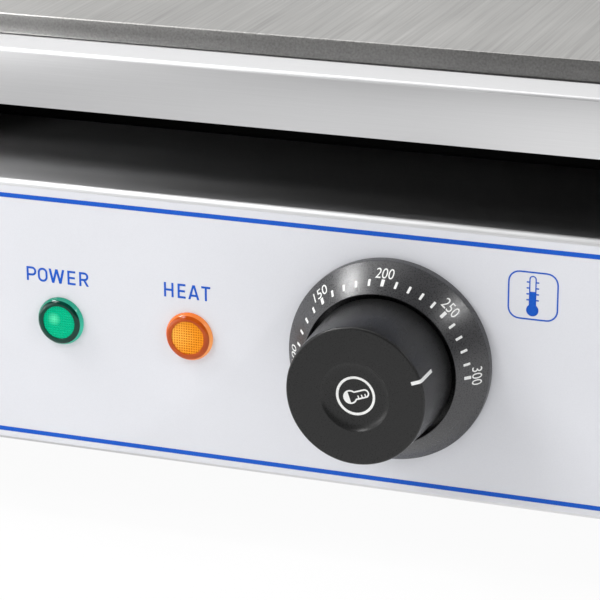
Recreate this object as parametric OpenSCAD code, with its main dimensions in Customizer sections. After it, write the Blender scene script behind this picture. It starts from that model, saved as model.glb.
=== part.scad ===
// Countertop electric griddle: a steel plate with a splash guard and a front grease trough, carried
// by a sheet-metal case with a control panel, a grease drawer and levelling feet.
// Millimetres, +Z up, front towards -Y. In every module y is the depth behind the panel's face.

/* [Case] */
// Width of the case and of the cooking top
case_w = 550; // [520:5:640]
// Depth from the control panel's face to the back panel's face
case_d = 400; // [390:5:460]
// Height of the case's underside above the worktop
case_lift = 32; // [29:1:40]
// Height of the control panel
panel_h = 103; // [99:1:120]
// Thickness of the case sheets
sheet_t = 1; // [0.8:0.1:1.2]
// Outside radius of the bends of the case sheets
sheet_bend_r = 2.5; // [2:0.1:2.6]
// Outside radius of the bend along the control panel's bottom edge
panel_foot_r = 1.3; // [1.3:0.1:2.6]
// Width of the turned-in flanges of the case and of the splash guard
flange_w = 12; // [11:0.5:14]
// Depth of the ledge behind the panel's top edge
ledge_d = 84; // [80:1:92]
// Height of the baffle turned up at the back of the ledge
baffle_h = 14; // [8:1:18]
// Play between case sheets that fit inside each other
sheet_play = 0.2; // [0.1:0.05:0.4]
// Width of a vent slot
vent_w = 3.6; // [2.6:0.1:3.8]
// Length of a vent slot
vent_l = 36; // [24:1:44]
// Spacing of the vent slots
vent_pitch = 9; // [7:0.5:11]
// Vent slots in a row
vent_count = 14; // [8:2:16]

/* [Cooking top] */
// Open gap between the ledge and the lip above it
gap_h = 28; // [25:1:36]
// Height of the lip in front of the grease trough
lip_h = 21; // [20:0.5:28]
// Thickness of the lip, trough and splash guard sheets
top_t = 1.5; // [1.2:0.1:1.8]
// Outside radius of the lip's top bend
lip_bend_r = 3; // [2.4:0.1:4]
// Outside radius of the trough's bends
trough_bend_r = 2; // [2:0.1:2.4]
// Depth of the flat rim behind the lip
rim_d = 20; // [16:1:24]
// Width of the grease trough
trough_w = 30; // [26:1:34]
// Depth of the grease trough below the cooking surface
trough_depth = 14; // [13:0.5:15]
// Width of the trough's weld flange under the plate
weld_flange_w = 16; // [12:1:20]
// Thickness of the griddle plate
plate_t = 8; // [6:0.5:9]
// Radius of the plate's rear corners
plate_corner_r = 6; // [5:0.5:10]
// Height of the splash guard above the cooking surface
guard_h = 56; // [40:1:80]
// Depth over which the guard's front ends slope down
guard_slope_d = 62; // [40:1:80]
// Outside radius of the guard's rear corners
guard_bend_r = 4.5; // [3.5:0.5:6]
// Height of the hem round the guard's top edge
hem_h = 10; // [6:1:14]
// Diameter of the drain hole
drain_d = 18; // [14:1:20]

/* [Heating] */
// Diameter of a heating element's tube
element_d = 8; // [6.5:0.5:8.5]
// Legs of each heating element, an even number
element_legs = 6; // [6:2:8]
// Distance of the first leg from the middle, and of the last from the heat shield
element_edge = 29; // [25:1:33]
// Radius of the bends that lead to an element's terminals
element_bend_r = 14; // [12:1:16]
// Diameter of an element's terminal pin
pin_d = 3.5; // [3:0.5:4]
// Width of a clamp bar
clamp_w = 20; // [16:1:24]
// Thickness of a clamp bar
clamp_t = 3; // [2:0.5:4]
// Diameter of the studs under the plate
stud_d = 6; // [5:0.5:6]
// Thickness of the insulation board
board_t = 20; // [16:1:22]
// Diameter of the temperature sensing bulbs
bulb_d = 6; // [5:0.5:6.5]
// Length of the sensing bulbs
bulb_l = 80; // [60:5:90]
// Diameter of the capillary tubes
capillary_d = 2; // [1.4:0.2:2.4]

/* [Controls] */
// Distance of the knob to the right of the middle
knob_x = 100; // [92:1:120]
// Distance between the knob and the lamp next to it
lamp_offset = 76.6; // [70:0.1:82]
// Distance between the two lamps
lamp_pitch = 51; // [40:0.5:56]
// Distance of the lamps below the knob's middle
lamp_drop = 1.1; // [0:0.1:4]
// Thickness of the printed film on the panel
film_t = 0.25; // [0.2:0.05:0.4]
// Margin between the film and the panel's top and side edges
film_margin = 2.6; // [2.6:0.1:4]
// Margin between the film and the panel's bottom edge
film_foot_margin = 1.4; // [1.3:0.1:4]
// Outside radius of the dial bezel
bezel_r = 37.1; // [36:0.1:40]
// Radius of the bezel's opening
bezel_in_r = 27.7; // [27.4:0.1:29]
// Height of the bezel at its opening
bezel_h = 14.3; // [13.5:0.1:16]
// Height of the bezel's straight rim
bezel_rim_h = 3.6; // [2.4:0.1:4.2]
// Thickness of the bezel's floor
bezel_floor_t = 2; // [1.6:0.1:2.4]
// Radius of the knob at its front
knob_r = 24.9; // [24:0.1:25.2]
// Radius of the knob at its foot
knob_foot_r = 26.2; // [25.4:0.1:26.5]
// Height of the knob's front above the panel
knob_h = 41; // [36:0.5:44]
// Height of the knob's foot above the panel
knob_foot_h = 12.8; // [12:0.1:13.2]
// Rounding of the knob's front edge
knob_round = 0.9; // [0.6:0.1:2.5]
// Radius of the dish in the knob's front
dish_r = 12.5; // [9:0.5:14]
// Depth of that dish
dish_depth = 1.6; // [1.2:0.1:2.8]
// Thickness of the knob's shell
knob_shell = 2.2; // [1.8:0.1:2.6]
// Radius of the knob's hub
hub_r = 6; // [5.5:0.1:6.5]
// Angle of the pointer above three o'clock
pointer_angle = 20; // [0:1:90]
// Diameter of the thermostat spindle
spindle_d = 6; // [5:0.5:6]
// Reach of the spindle in front of the panel
spindle_reach = 18; // [16:0.5:20]
// Radius of a lamp lens's flange
lens_r = 9.1; // [8.4:0.1:10]
// Radius of a lens's raised front
lens_dome_r = 8.2; // [7.6:0.1:8.3]
// Radius of a lens's flat face
lens_face_r = 6.3; // [5.8:0.1:6.5]
// Height of a lens in front of the film
lens_h = 2.4; // [2.2:0.1:3.2]
// Radius of a lens's stem
lens_stem_r = 5.9; // [5.4:0.1:6.2]

/* [Drawer] */
// Width of the drawer's front
drawer_w = 148; // [124:2:156]
// Distance of the drawer's front from the left side of the case
drawer_inset = 17; // [15:1:20]
// Thickness of the drawer's sheets
drawer_t = 1.2; // [1:0.1:1.5]
// Play between the drawer and what it slides on
drawer_play = 0.4; // [0.3:0.05:0.6]
// Corner radius of the drawer's pan
pan_corner_r = 4; // [3:0.5:6]
// Diameter of the handle's bar
handle_d = 6; // [5:0.5:7]
// Width of the handle between its ends
handle_span = 70; // [56:1:84]
// Reach of the handle in front of the drawer
handle_reach = 24; // [22:1:28]
// Bend radius of the handle
handle_bend_r = 8; // [6:0.5:9]

/* [Feet] */
// Diameter of a foot pad
foot_d = 40; // [34:1:44]
// Distance of a foot from the edges of the case
foot_inset = 42; // [36:1:50]
// Diameter of the foot studs
foot_stud_d = 8; // [7:0.5:8]
// Gap between a foot's nut and the case when it is screwed right in
foot_play = 0.3; // [0.3:0.05:0.5]

/* [Rear fittings] */
// Distance of the cable gland from the case's side
gland_inset = 125; // [115:1:135]
// Height of the cable gland above the case's underside
gland_lift = 43; // [38:1:50]
// Diameter of the cable gland's thread
gland_d = 20; // [18:0.5:20]
// Diameter of the cable that the gland takes
cable_d = 11; // [9:0.5:11]
// Distance between the gland and the bonding stud
bonding_offset = 48; // [40:1:56]
// Diameter of the bonding stud
bonding_d = 6; // [5:0.5:6]
// Height of the limiter above the case's underside
limiter_lift = 68; // [60:1:74]
// Diameter of the limiter's reset button
button_d = 5; // [4:0.5:6]
// Reach of the reset button behind the back panel
button_reach = 11.5; // [11:0.5:13]

/* [Fits] */
// Radial clearance of turning and sliding round parts
running_play = 0.06; // [0.02:0.01:0.1]
// Radial clearance of fixed round parts
fixed_play = 0.05; // [0.02:0.01:0.1]
// Diameter of the case screws
screw_d = 4; // [3.5:0.1:4]

/* [Hidden] */
$fn = 64;

half_w = case_w / 2;
inner_w = half_w - sheet_t;
flange_x = half_w - flange_w;
base_z = case_lift;
floor_z = base_z + 2 * sheet_t;
knob_z = base_z + panel_h / 2;
ledge_z = base_z + panel_h;
lip_z = ledge_z + gap_h;
plate_z = lip_z + lip_h;
plate_under = plate_z - plate_t;
guard_z = plate_z + guard_h;
plate_y = rim_d + trough_w;
trough_z = plate_z - trough_depth;
guard_slope_y = rim_d - 8;

power_x = knob_x - lamp_offset - lamp_pitch;
heat_x = knob_x - lamp_offset;
lamp_xs = [power_x, heat_x];
lamp_z = knob_z - lamp_drop;
thermo_size = [46, 30, 38];
thermo_under = knob_z - thermo_size.z / 2;
tab_l = 9;
tab_row_a = 24;
tab_row_b = 12;
fixing_pitch = 28;
fixing_l = 12;
stem_l = 14;
socket_l = 16;

heat_x1 = flange_x - 5;
heat_y0 = ledge_d + 6;
heat_y1 = case_d - flange_w - 4;
tube_z = plate_under - element_d / 2;
clamp_z = plate_under - element_d - clamp_t;
board_z = clamp_z - board_t;
shield_z = board_z - sheet_t;
leg_pitch = (heat_x1 - 2 * element_edge) / (element_legs - 1);
loop_y0 = heat_y0 + 50;
loop_y1 = heat_y1 - 44;
terminal_y = heat_y0 + element_bend_r;
lead_drop = 10;
pin_l = 8;
stud_tail = 8;
clamp_over = 12;
sleeve_z = shield_z - lead_drop;
pin_z = sleeve_z - pin_l;
clamp_ys = [for (k = [1, 3, 5]) loop_y0 + (loop_y1 - loop_y0) * k / 6];
stud_xs = [leg_x(1) + leg_pitch / 2, leg_x(3) + leg_pitch / 2];
stud_spots = [for (s = [-1, 1], x = stud_xs, y = clamp_ys) [s * x, y]];
terminal_xs = [for (s = [-1, 1], i = [0, element_legs - 1]) s * leg_x(i)];
bulb_x = leg_x(0) + leg_pitch / 2;
bulb_z = plate_under - bulb_d / 2;
bulb_y = (loop_y0 + loop_y1 - bulb_l) / 2;
capillary_drop = 15;
thermo_drop_y = heat_y0 + 36;
limiter_drop_y = loop_y1 - 12;

limiter_x = -bulb_x;
limiter_z = base_z + limiter_lift;
limiter_size = [34, 26, 26];
neck_d = 10;
gland_x = gland_inset - half_w;
gland_z = base_z + gland_lift;
bonding_x = gland_x - bonding_offset;
bonding_neck = 6.5;
block_size = [62, 24, 22];
block_y = case_d - 78;
wire_r = 1.5;
wire_bend_r = 6;
wire_z = floor_z + block_size.z / 2;

drawer_x = -(half_w - drawer_inset - drawer_w / 2);
drawer_y = 1.5;
drawer_z = ledge_z + drawer_play;
pan_w = drawer_w - 6;
pan_y = drawer_y + drawer_t;
pan_back = ledge_d - sheet_t - 2;
pan_top = lip_z - 5;
front_top = lip_z - 2;
runner_y = 6;
runner_h = 10;
handle_z = (drawer_z + front_top) / 2;
handle_y = drawer_y - handle_reach + handle_d / 2;

foot_x = half_w - foot_inset;
foot_nut_top = base_z + sheet_t - foot_play;
foot_nut_t = 5;
weld_nut_t = 6.5;

screw_head_r = 0.95 * screw_d;
screw_head_h = 0.6 * screw_d;
hole_r = screw_d / 2 + fixed_play;
side_screws = [
    [flange_w - 4.5, base_z + 24],
    [flange_w - 4.5, ledge_z - 24],
    [case_d - flange_w + 4.5, base_z + 24],
    [case_d - flange_w + 4.5, lip_z - 24]
];
base_screws = concat(
    [for (s = [-1, 1], k = [0.25, 0.5, 0.75]) [s * (half_w - 6.5), case_d * k]],
    [for (s = [-1, 1], y = [6.5, case_d - 6.5]) [s * 0.75 * half_w, y]]
);
top_screws = concat(
    [for (s = [-1, 1], k = [0.3, 0.55, 0.8]) [s * (half_w - 7), case_d * k]],
    [for (s = [-1, 1]) [s * 0.45 * half_w, case_d - 7]]
);

// The knob is the foremost point and the gland's nut the rearmost; both are as far from y = 0
gland_reach = 24;
panel_y = (knob_h - case_d - gland_reach) / 2;

function unit(v) = v / norm(v);
function flats(d) = 5 * d / 3;
function nut_h(d) = 5 * d / 6;
function leg_x(i) = element_edge + i * leg_pitch;
function turn(path, i) = acos(unit(path[i] - path[i - 1]) * unit(path[i + 1] - path[i]));
function setback(path, i, r) = r * tan(turn(path, i) / 2);
function square_to(v) = unit(cross(v, abs(v.z) < 0.9 ? [0, 0, 1] : [1, 0, 0]));
// Matrix that lays the axes along x, y and z and the origin at p
function frame(x, y, z, p) = [
    [x.x, y.x, z.x, p.x],
    [x.y, y.y, z.y, p.y],
    [x.z, y.z, z.z, p.z],
    [0, 0, 0, 1]
];

// Moves a sub-part from its depth behind the panel to its place in the whole
module placed() {
    translate([0, panel_y, 0]) children();
}

// Turns +Z of the children to the front, from a height above the panel's face
module out_front(x, z, h = 0) {
    translate([x, -h, z]) rotate([90, 0, 0]) children();
}

// Turns +Z of the children to the back, from a depth
module to_back(x, y, z) {
    translate([x, y, z]) rotate([-90, 0, 0]) children();
}

// Repeats the children on both sides of the middle
module both_sides() {
    children();
    mirror([1, 0, 0]) children();
}

// Rectangle with round corners, about its middle
module rounded(w, h, r) {
    square([w - 2 * r, h], center = true);
    square([w, h - 2 * r], center = true);
    for (x = [-1, 1], y = [-1, 1])
        translate([x * (w / 2 - r), y * (h / 2 - r)]) circle(r);
}

// Outline of a sheet folded along a centre line, with an outside radius for each bend
module strip_outline(path, t, radii) {
    last = len(path) - 1;
    for (i = [0:last - 1]) {
        along = unit(path[i + 1] - path[i]);
        start = i == 0 ? 0 : setback(path, i, radii[i - 1] - t / 2);
        end = i + 1 == last ? 0 : setback(path, i + 1, radii[i] - t / 2);
        translate(path[i] + along * start)
            rotate(atan2(along.y, along.x))
                translate([0, -t / 2])
                    square([norm(path[i + 1] - path[i]) - start - end, t]);
    }
    for (i = [1:last - 1])
        bend_outline(path, i, t, radii[i - 1] - t / 2);
}

// One bend of that outline, at corner i
module bend_outline(path, i, t, mid_r) {
    d1 = unit(path[i] - path[i - 1]);
    d2 = unit(path[i + 1] - path[i]);
    back = setback(path, i, mid_r);
    centre = path[i] - d1 * back + unit(d2 - d1 * (d1 * d2)) * mid_r;
    a = path[i] - d1 * back - centre;
    b = path[i] + d2 * back - centre;
    translate(centre)
        intersection() {
            difference() {
                circle(mid_r + t / 2);
                circle(mid_r - t / 2);
            }
            polygon([[0, 0], 3 * a, 3 * (a + b), 3 * b]);
        }
}

// Sheet folded along a path of depths and heights, as wide as w
module folded_across(path, t, radii, w) {
    rotate([90, 0, 90])
        linear_extrude(w, center = true)
            strip_outline(path, t, radii);
}

// Round bar through a list of points, with its corners bent to a radius
module bent_bar(points, r, bend_r) {
    last = len(points) - 1;
    for (i = [0:last - 1]) {
        along = unit(points[i + 1] - points[i]);
        start = i == 0 ? 0 : setback(points, i, bend_r);
        end = i + 1 == last ? 0 : setback(points, i + 1, bend_r);
        side = square_to(along);
        multmatrix(frame(side, cross(along, side), along, points[i] + along * start))
            cylinder(r = r, h = norm(points[i + 1] - points[i]) - start - end);
    }
    if (last > 1)
        for (i = [1:last - 1]) {
            d1 = unit(points[i] - points[i - 1]);
            d2 = unit(points[i + 1] - points[i]);
            inward = unit(d2 - d1 * (d1 * d2));
            centre = points[i] - d1 * setback(points, i, bend_r) + inward * bend_r;
            multmatrix(frame(-inward, d1, cross(d1, inward), centre))
                rotate_extrude(angle = turn(points, i))
                    translate([bend_r, 0]) circle(r);
        }
}

// Pan-head screw along +Z, with its head under z = 0
module pan_screw(l) {
    difference() {
        union() {
            cylinder(d = screw_d, h = l);
            rotate_extrude()
                polygon([
                    [0, 0],
                    [screw_head_r, 0],
                    [screw_head_r, -0.35 * screw_head_h],
                    [0.85 * screw_head_r, -0.75 * screw_head_h],
                    [0.5 * screw_head_r, -screw_head_h],
                    [0, -screw_head_h]
                ]);
        }
        for (a = [0, 90])
            rotate(a)
                translate([0, 0, -screw_head_h])
                    cube([screw_head_r, 0.22 * screw_d, 0.7 * screw_head_h], center = true);
    }
}

// Hexagon nut along +Z, measured across its flats
module hex_nut(flats, bore_d, h) {
    difference() {
        cylinder(r = flats / sqrt(3), h = h, $fn = 6);
        translate([0, 0, -1]) cylinder(d = bore_d, h = h + 2);
    }
}

// Row of upright vent slots, cut along +Z
module vents(depth) {
    for (i = [0:vent_count - 1])
        translate([(i - (vent_count - 1) / 2) * vent_pitch, 0, 0])
            linear_extrude(depth) rounded(vent_w, vent_l, 0.49 * vent_w);
}

module base_pan() color("silver") {
    edge = sheet_bend_r + sheet_play;
    difference() {
        translate([edge - half_w, edge, base_z + sheet_t])
            cube([case_w - 2 * edge, case_d - 2 * edge, sheet_t]);
        for (s = base_screws)
            translate([s.x, s.y, base_z]) cylinder(r = hole_r, h = 3 * sheet_t);
        for (x = [-foot_x, foot_x], y = [foot_inset, case_d - foot_inset])
            translate([x, y, base_z]) cylinder(d = foot_stud_d + 1.2, h = 3 * sheet_t);
        for (y = [0.3, 0.7])
            translate([0.2 * half_w, y * case_d, base_z]) vents(3 * sheet_t);
    }
}

module side_sheet() {
    path = [
        [flange_x, lip_z - sheet_t / 2],
        [half_w - sheet_t / 2, lip_z - sheet_t / 2],
        [half_w - sheet_t / 2, base_z + sheet_t / 2],
        [flange_x, base_z + sheet_t / 2]
    ];
    difference() {
        translate([0, case_d - sheet_t, 0])
            rotate([90, 0, 0])
                linear_extrude(case_d - 2 * sheet_t)
                    strip_outline(path, sheet_t, [sheet_bend_r, sheet_bend_r]);
        for (s = side_screws)
            translate([inner_w - 1, s.x, s.y]) rotate([0, 90, 0]) cylinder(r = hole_r, h = sheet_t + 2);
        for (s = base_screws)
            translate([s.x, s.y, base_z - 1]) cylinder(r = hole_r, h = sheet_t + 2);
        for (s = top_screws)
            translate([s.x, s.y, lip_z - sheet_t - 1]) cylinder(r = hole_r, h = sheet_t + 2);
        translate([inner_w - 1, 0.55 * case_d, knob_z]) rotate([90, 0, 90]) vents(sheet_t + 2);
    }
}

module right_side() color("gainsboro") {
    side_sheet();
}

module left_side() color("gainsboro") {
    mirror([1, 0, 0]) side_sheet();
}

// Upright tab behind a panel's end, which the side screws hold
module end_tab(y, z1) {
    z0 = base_z + sheet_bend_r + 1;
    translate([inner_w - sheet_play - sheet_t, y, z0])
        cube([sheet_t, flange_w - sheet_t / 2, z1 - sheet_bend_r - 1 - z0]);
}

module back_panel() color("gainsboro") {
    path = [
        [case_d - flange_w, lip_z - sheet_t / 2],
        [case_d - sheet_t / 2, lip_z - sheet_t / 2],
        [case_d - sheet_t / 2, base_z + sheet_t / 2],
        [case_d - flange_w, base_z + sheet_t / 2]
    ];
    difference() {
        union() {
            difference() {
                folded_across(path, sheet_t, [sheet_bend_r, sheet_bend_r], case_w);
                both_sides()
                    translate([flange_x - sheet_play, case_d - 2 * flange_w, base_z - 1])
                        cube([2 * flange_w, 2 * flange_w - sheet_t, lip_z - base_z + 2]);
            }
            both_sides() end_tab(case_d - flange_w, lip_z);
        }
        panel_end_holes();
        to_back(gland_x, case_d - 3, gland_z) cylinder(r = gland_d / 2 + fixed_play, h = 6);
        to_back(bonding_x, case_d - 3, gland_z) cylinder(r = bonding_d / 2 + fixed_play, h = 6);
        to_back(limiter_x, case_d - 3, limiter_z) cylinder(r = neck_d / 2 + fixed_play, h = 6);
        to_back(0.5 * half_w, case_d - 3, knob_z + 8) vents(6);
    }
}

// Holes for the side and flange screws of the front and back panels
module panel_end_holes() {
    for (s = side_screws)
        both_sides()
            translate([inner_w - 3, s.x, s.y]) rotate([0, 90, 0]) cylinder(r = hole_r, h = 4);
    for (s = base_screws)
        translate([s.x, s.y, base_z - 1]) cylinder(r = hole_r, h = sheet_t + 2);
    for (s = top_screws)
        translate([s.x, s.y, lip_z - sheet_t - 1]) cylinder(r = hole_r, h = sheet_t + 2);
}

module front_panel() color("gainsboro") {
    path = [
        [ledge_d - sheet_t / 2, ledge_z + baffle_h],
        [ledge_d - sheet_t / 2, ledge_z - sheet_t / 2],
        [sheet_t / 2, ledge_z - sheet_t / 2],
        [sheet_t / 2, base_z + sheet_t / 2],
        [flange_w, base_z + sheet_t / 2]
    ];
    difference() {
        union() {
            difference() {
                folded_across(path, sheet_t, [sheet_bend_r, sheet_bend_r, panel_foot_r], case_w);
                both_sides()
                    translate([inner_w - sheet_play, sheet_t, base_z - 1])
                        cube([flange_w, ledge_d, panel_h + baffle_h + 2]);
                both_sides()
                    translate([flange_x - sheet_play, sheet_t, base_z - 1])
                        cube([flange_w, flange_w, sheet_bend_r + 1]);
            }
            both_sides() end_tab(sheet_t / 2, ledge_z);
        }
        panel_end_holes();
        out_front(knob_x, knob_z, -3) cylinder(d = spindle_d + 4, h = 6);
        for (s = [-1, 1])
            out_front(knob_x + s * fixing_pitch / 2, knob_z, -3) cylinder(r = hole_r, h = 6);
        for (x = lamp_xs)
            out_front(x, lamp_z, -3) cylinder(r = lens_stem_r + 0.2, h = 6);
    }
}

module panel_film() color("whitesmoke") {
    film_h = panel_h - film_margin - film_foot_margin;
    difference() {
        out_front(0, base_z + film_foot_margin + film_h / 2)
            linear_extrude(film_t) rounded(case_w - 2 * film_margin, film_h, 3);
        out_front(knob_x, knob_z, -1) cylinder(d = spindle_d + 5, h = 3);
        for (s = [-1, 1])
            out_front(knob_x + s * fixing_pitch / 2, knob_z, -1) cylinder(r = hole_r, h = 3);
        for (x = lamp_xs)
            out_front(x, lamp_z, -1) cylinder(r = lens_stem_r + 0.2, h = 3);
    }
}

module griddle_plate() color("gray") {
    w = case_w - 2 * top_t;
    d = case_d - top_t - plate_y;
    translate([0, plate_y, plate_under])
        linear_extrude(plate_t) {
            translate([-w / 2, 0]) square([w, d - plate_corner_r]);
            translate([plate_corner_r - w / 2, 0]) square([w - 2 * plate_corner_r, d]);
            for (s = [-1, 1])
                translate([s * (w / 2 - plate_corner_r), d - plate_corner_r]) circle(plate_corner_r);
        }
}

// Outline of the guard's three walls seen from above, grown outwards by an offset
module guard_walls(grow, h) {
    x = half_w - top_t / 2 + grow;
    y = case_d - top_t / 2 + grow;
    r = guard_bend_r + grow;
    linear_extrude(h) strip_outline([[-x, 0], [-x, y], [x, y], [x, 0]], top_t, [r, r]);
}

module splash_guard() color("silver") {
    difference() {
        union() {
            translate([0, 0, lip_z]) guard_walls(0, guard_z - lip_z);
            translate([0, 0, guard_z - hem_h]) guard_walls(top_t, hem_h);
            both_sides()
                translate([flange_x, rim_d, lip_z])
                    cube([flange_w - top_t / 2, case_d - rim_d - guard_bend_r, top_t]);
            translate([-flange_x, case_d - flange_w, lip_z])
                cube([2 * flange_x, flange_w - top_t / 2, top_t]);
        }
        translate([0, 0, -0.01])
            rotate([90, 0, 90])
                linear_extrude(2 * case_w, center = true)
                    polygon([
                        [-5, plate_z],
                        [guard_slope_y, plate_z],
                        [guard_slope_y + guard_slope_d, guard_z + 1],
                        [-5, guard_z + 1]
                    ]);
        for (s = top_screws)
            translate([s.x, s.y, lip_z - 1]) cylinder(r = hole_r, h = top_t + 2);
    }
}

module front_trough() color("silver") {
    t = top_t / 2;
    path = [
        [t, lip_z],
        [t, plate_z - t],
        [rim_d - t, plate_z - t],
        [rim_d - t, trough_z - t],
        [plate_y + t, trough_z - t],
        [plate_y + t, plate_under - t],
        [plate_y + weld_flange_w, plate_under - t]
    ];
    r = trough_bend_r;
    difference() {
        folded_across(path, top_t, [lip_bend_r, r, r, r, r], case_w - 2 * top_t);
        translate([drawer_x, rim_d + trough_w / 2, trough_z - 2 * top_t])
            cylinder(d = drain_d, h = 3 * top_t);
    }
}

module drain_spout() color("silver") {
    top = trough_z - top_t;
    end = pan_top + 1.5;
    translate([drawer_x, rim_d + trough_w / 2, 0])
        difference() {
            union() {
                translate([0, 0, top - 1.2]) cylinder(d = drain_d + 8, h = 1.2);
                translate([0, 0, end]) cylinder(d = drain_d + 2.4, h = top - end);
            }
            translate([0, 0, end - 1]) cylinder(d = drain_d, h = top - end + 2);
        }
}

// Heating element on the right: a flat winding whose ends turn down to the terminals
module element_tube() {
    for (i = [0:element_legs - 1])
        translate([leg_x(i), loop_y1, tube_z])
            rotate([90, 0, 0]) cylinder(d = element_d, h = loop_y1 - loop_y0);
    for (i = [0:element_legs - 2])
        translate([leg_x(i) + leg_pitch / 2, i % 2 == 0 ? loop_y1 : loop_y0, tube_z])
            rotate(i % 2 == 0 ? 0 : 180)
                rotate_extrude(angle = 180)
                    translate([leg_pitch / 2, 0]) circle(d = element_d);
    for (i = [0, element_legs - 1]) {
        bent_bar(
            [[leg_x(i), loop_y0, tube_z], [leg_x(i), terminal_y, tube_z], [leg_x(i), terminal_y, sleeve_z]],
            element_d / 2,
            element_bend_r
        );
        translate([leg_x(i), terminal_y, pin_z]) cylinder(d = pin_d, h = sleeve_z - pin_z);
    }
}

module right_element() color("dimgray") {
    element_tube();
}

module left_element() color("dimgray") {
    mirror([1, 0, 0]) element_tube();
}

module element_beads() color("ivory") {
    for (x = terminal_xs)
        translate([x, terminal_y, sleeve_z])
            difference() {
                cylinder(r = element_d / 2 + 2.5, h = 7);
                translate([0, 0, -1]) cylinder(r = element_d / 2 + fixed_play, h = 9);
            }
}

module clamp_bars() color("gray") {
    x0 = leg_x(0) - clamp_over;
    difference() {
        for (y = clamp_ys)
            both_sides()
                translate([x0, y - clamp_w / 2, clamp_z])
                    cube([leg_x(element_legs - 1) + clamp_over - x0, clamp_w, clamp_t]);
        for (s = stud_spots)
            translate([s.x, s.y, clamp_z - 1]) cylinder(r = stud_d / 2 + 0.3, h = clamp_t + 2);
    }
}

module plate_studs() color("silver") {
    for (s = stud_spots)
        translate([s.x, s.y, shield_z - stud_tail])
            cylinder(d = stud_d, h = plate_under - shield_z + stud_tail);
}

module clamp_nuts() color("silver") {
    for (s = stud_spots)
        translate([s.x, s.y, clamp_z - nut_h(stud_d)])
            hex_nut(flats(stud_d), stud_d + 2 * fixed_play, nut_h(stud_d));
}

module shield_nuts() color("silver") {
    for (s = stud_spots)
        translate([s.x, s.y, shield_z - nut_h(stud_d)])
            hex_nut(flats(stud_d), stud_d + 2 * fixed_play, nut_h(stud_d));
}

// Holes in the board and the shield for the elements' ends and the capillaries
module heat_holes() {
    h = board_t + sheet_t + 2;
    for (x = terminal_xs)
        translate([x, terminal_y, shield_z - 1]) cylinder(r = element_d / 2 + 1, h = h);
    translate([bulb_x, thermo_drop_y, shield_z - 1]) cylinder(d = capillary_d + 4, h = h);
    translate([limiter_x, limiter_drop_y, shield_z - 1]) cylinder(d = capillary_d + 4, h = h);
}

module insulation_board() color("wheat") {
    edge = sheet_t + sheet_play;
    difference() {
        translate([edge - heat_x1, heat_y0 + edge, board_z])
            cube([2 * (heat_x1 - edge), heat_y1 - heat_y0 - 2 * edge, board_t]);
        for (s = stud_spots)
            translate([s.x, s.y, board_z - 1]) cylinder(r = 8, h = board_t + 2);
        // The holes for the elements are long enough for the start of their bends
        for (x = terminal_xs)
            translate([x - element_d / 2 - 1, terminal_y, board_z - 1])
                cube([element_d + 2, element_bend_r - element_d / 2, board_t + 2]);
        heat_holes();
    }
}

module heat_shield() color("silver") {
    difference() {
        translate([-heat_x1, heat_y0, shield_z])
            cube([2 * heat_x1, heat_y1 - heat_y0, board_t + sheet_t]);
        translate([sheet_t - heat_x1, heat_y0 + sheet_t, board_z])
            cube([2 * (heat_x1 - sheet_t), heat_y1 - heat_y0 - 2 * sheet_t, board_t + 1]);
        for (s = stud_spots)
            translate([s.x, s.y, shield_z - 1]) cylinder(r = stud_d / 2 + 0.3, h = sheet_t + 2);
        heat_holes();
    }
}

module thermostat_body() color("tan") {
    difference() {
        union() {
            translate([knob_x - thermo_size.x / 2, sheet_t, thermo_under]) cube(thermo_size);
            out_front(knob_x, knob_z, -sheet_t - 1) cylinder(d = spindle_d + 3.6, h = sheet_t + 2.5);
            for (s = [-1, 1])
                translate([knob_x + 8 * s - 3.15, tab_row_a - 0.4, thermo_under - tab_l])
                    cube([6.3, 0.8, tab_l + 1]);
            translate([knob_x - 3.15, tab_row_b - 0.4, thermo_under - tab_l]) cube([6.3, 0.8, tab_l + 1]);
        }
        out_front(knob_x, knob_z, -10) cylinder(r = spindle_d / 2 + running_play, h = 20);
        for (s = [-1, 1])
            out_front(knob_x + s * fixing_pitch / 2, knob_z, -12) cylinder(r = hole_r, h = 20);
    }
}

module thermostat_spindle() color("silver") {
    out_front(knob_x, knob_z, -9)
        difference() {
            cylinder(d = spindle_d, h = spindle_reach + 9);
            rotate(pointer_angle)
                translate([0.35 * spindle_d, -spindle_d, spindle_reach - 3])
                    cube([spindle_d, 2 * spindle_d, 20]);
        }
}

module thermostat_screws() color("silver") {
    for (s = [-1, 1])
        to_back(knob_x + s * fixing_pitch / 2, -film_t - bezel_floor_t, knob_z) pan_screw(fixing_l);
}

module thermostat_bulb() color("peru") {
    turn_z = ledge_z - capillary_drop;
    translate([bulb_x, bulb_y + bulb_l, bulb_z]) rotate([90, 0, 0]) cylinder(d = bulb_d, h = bulb_l);
    bent_bar(
        [
            [bulb_x, bulb_y + capillary_d, bulb_z],
            [bulb_x, thermo_drop_y, bulb_z],
            [bulb_x, thermo_drop_y, turn_z],
            [bulb_x, 16, turn_z],
            [knob_x, 16, turn_z],
            [knob_x, 16, thermo_under + thermo_size.z]
        ],
        capillary_d / 2,
        8
    );
}

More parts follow.
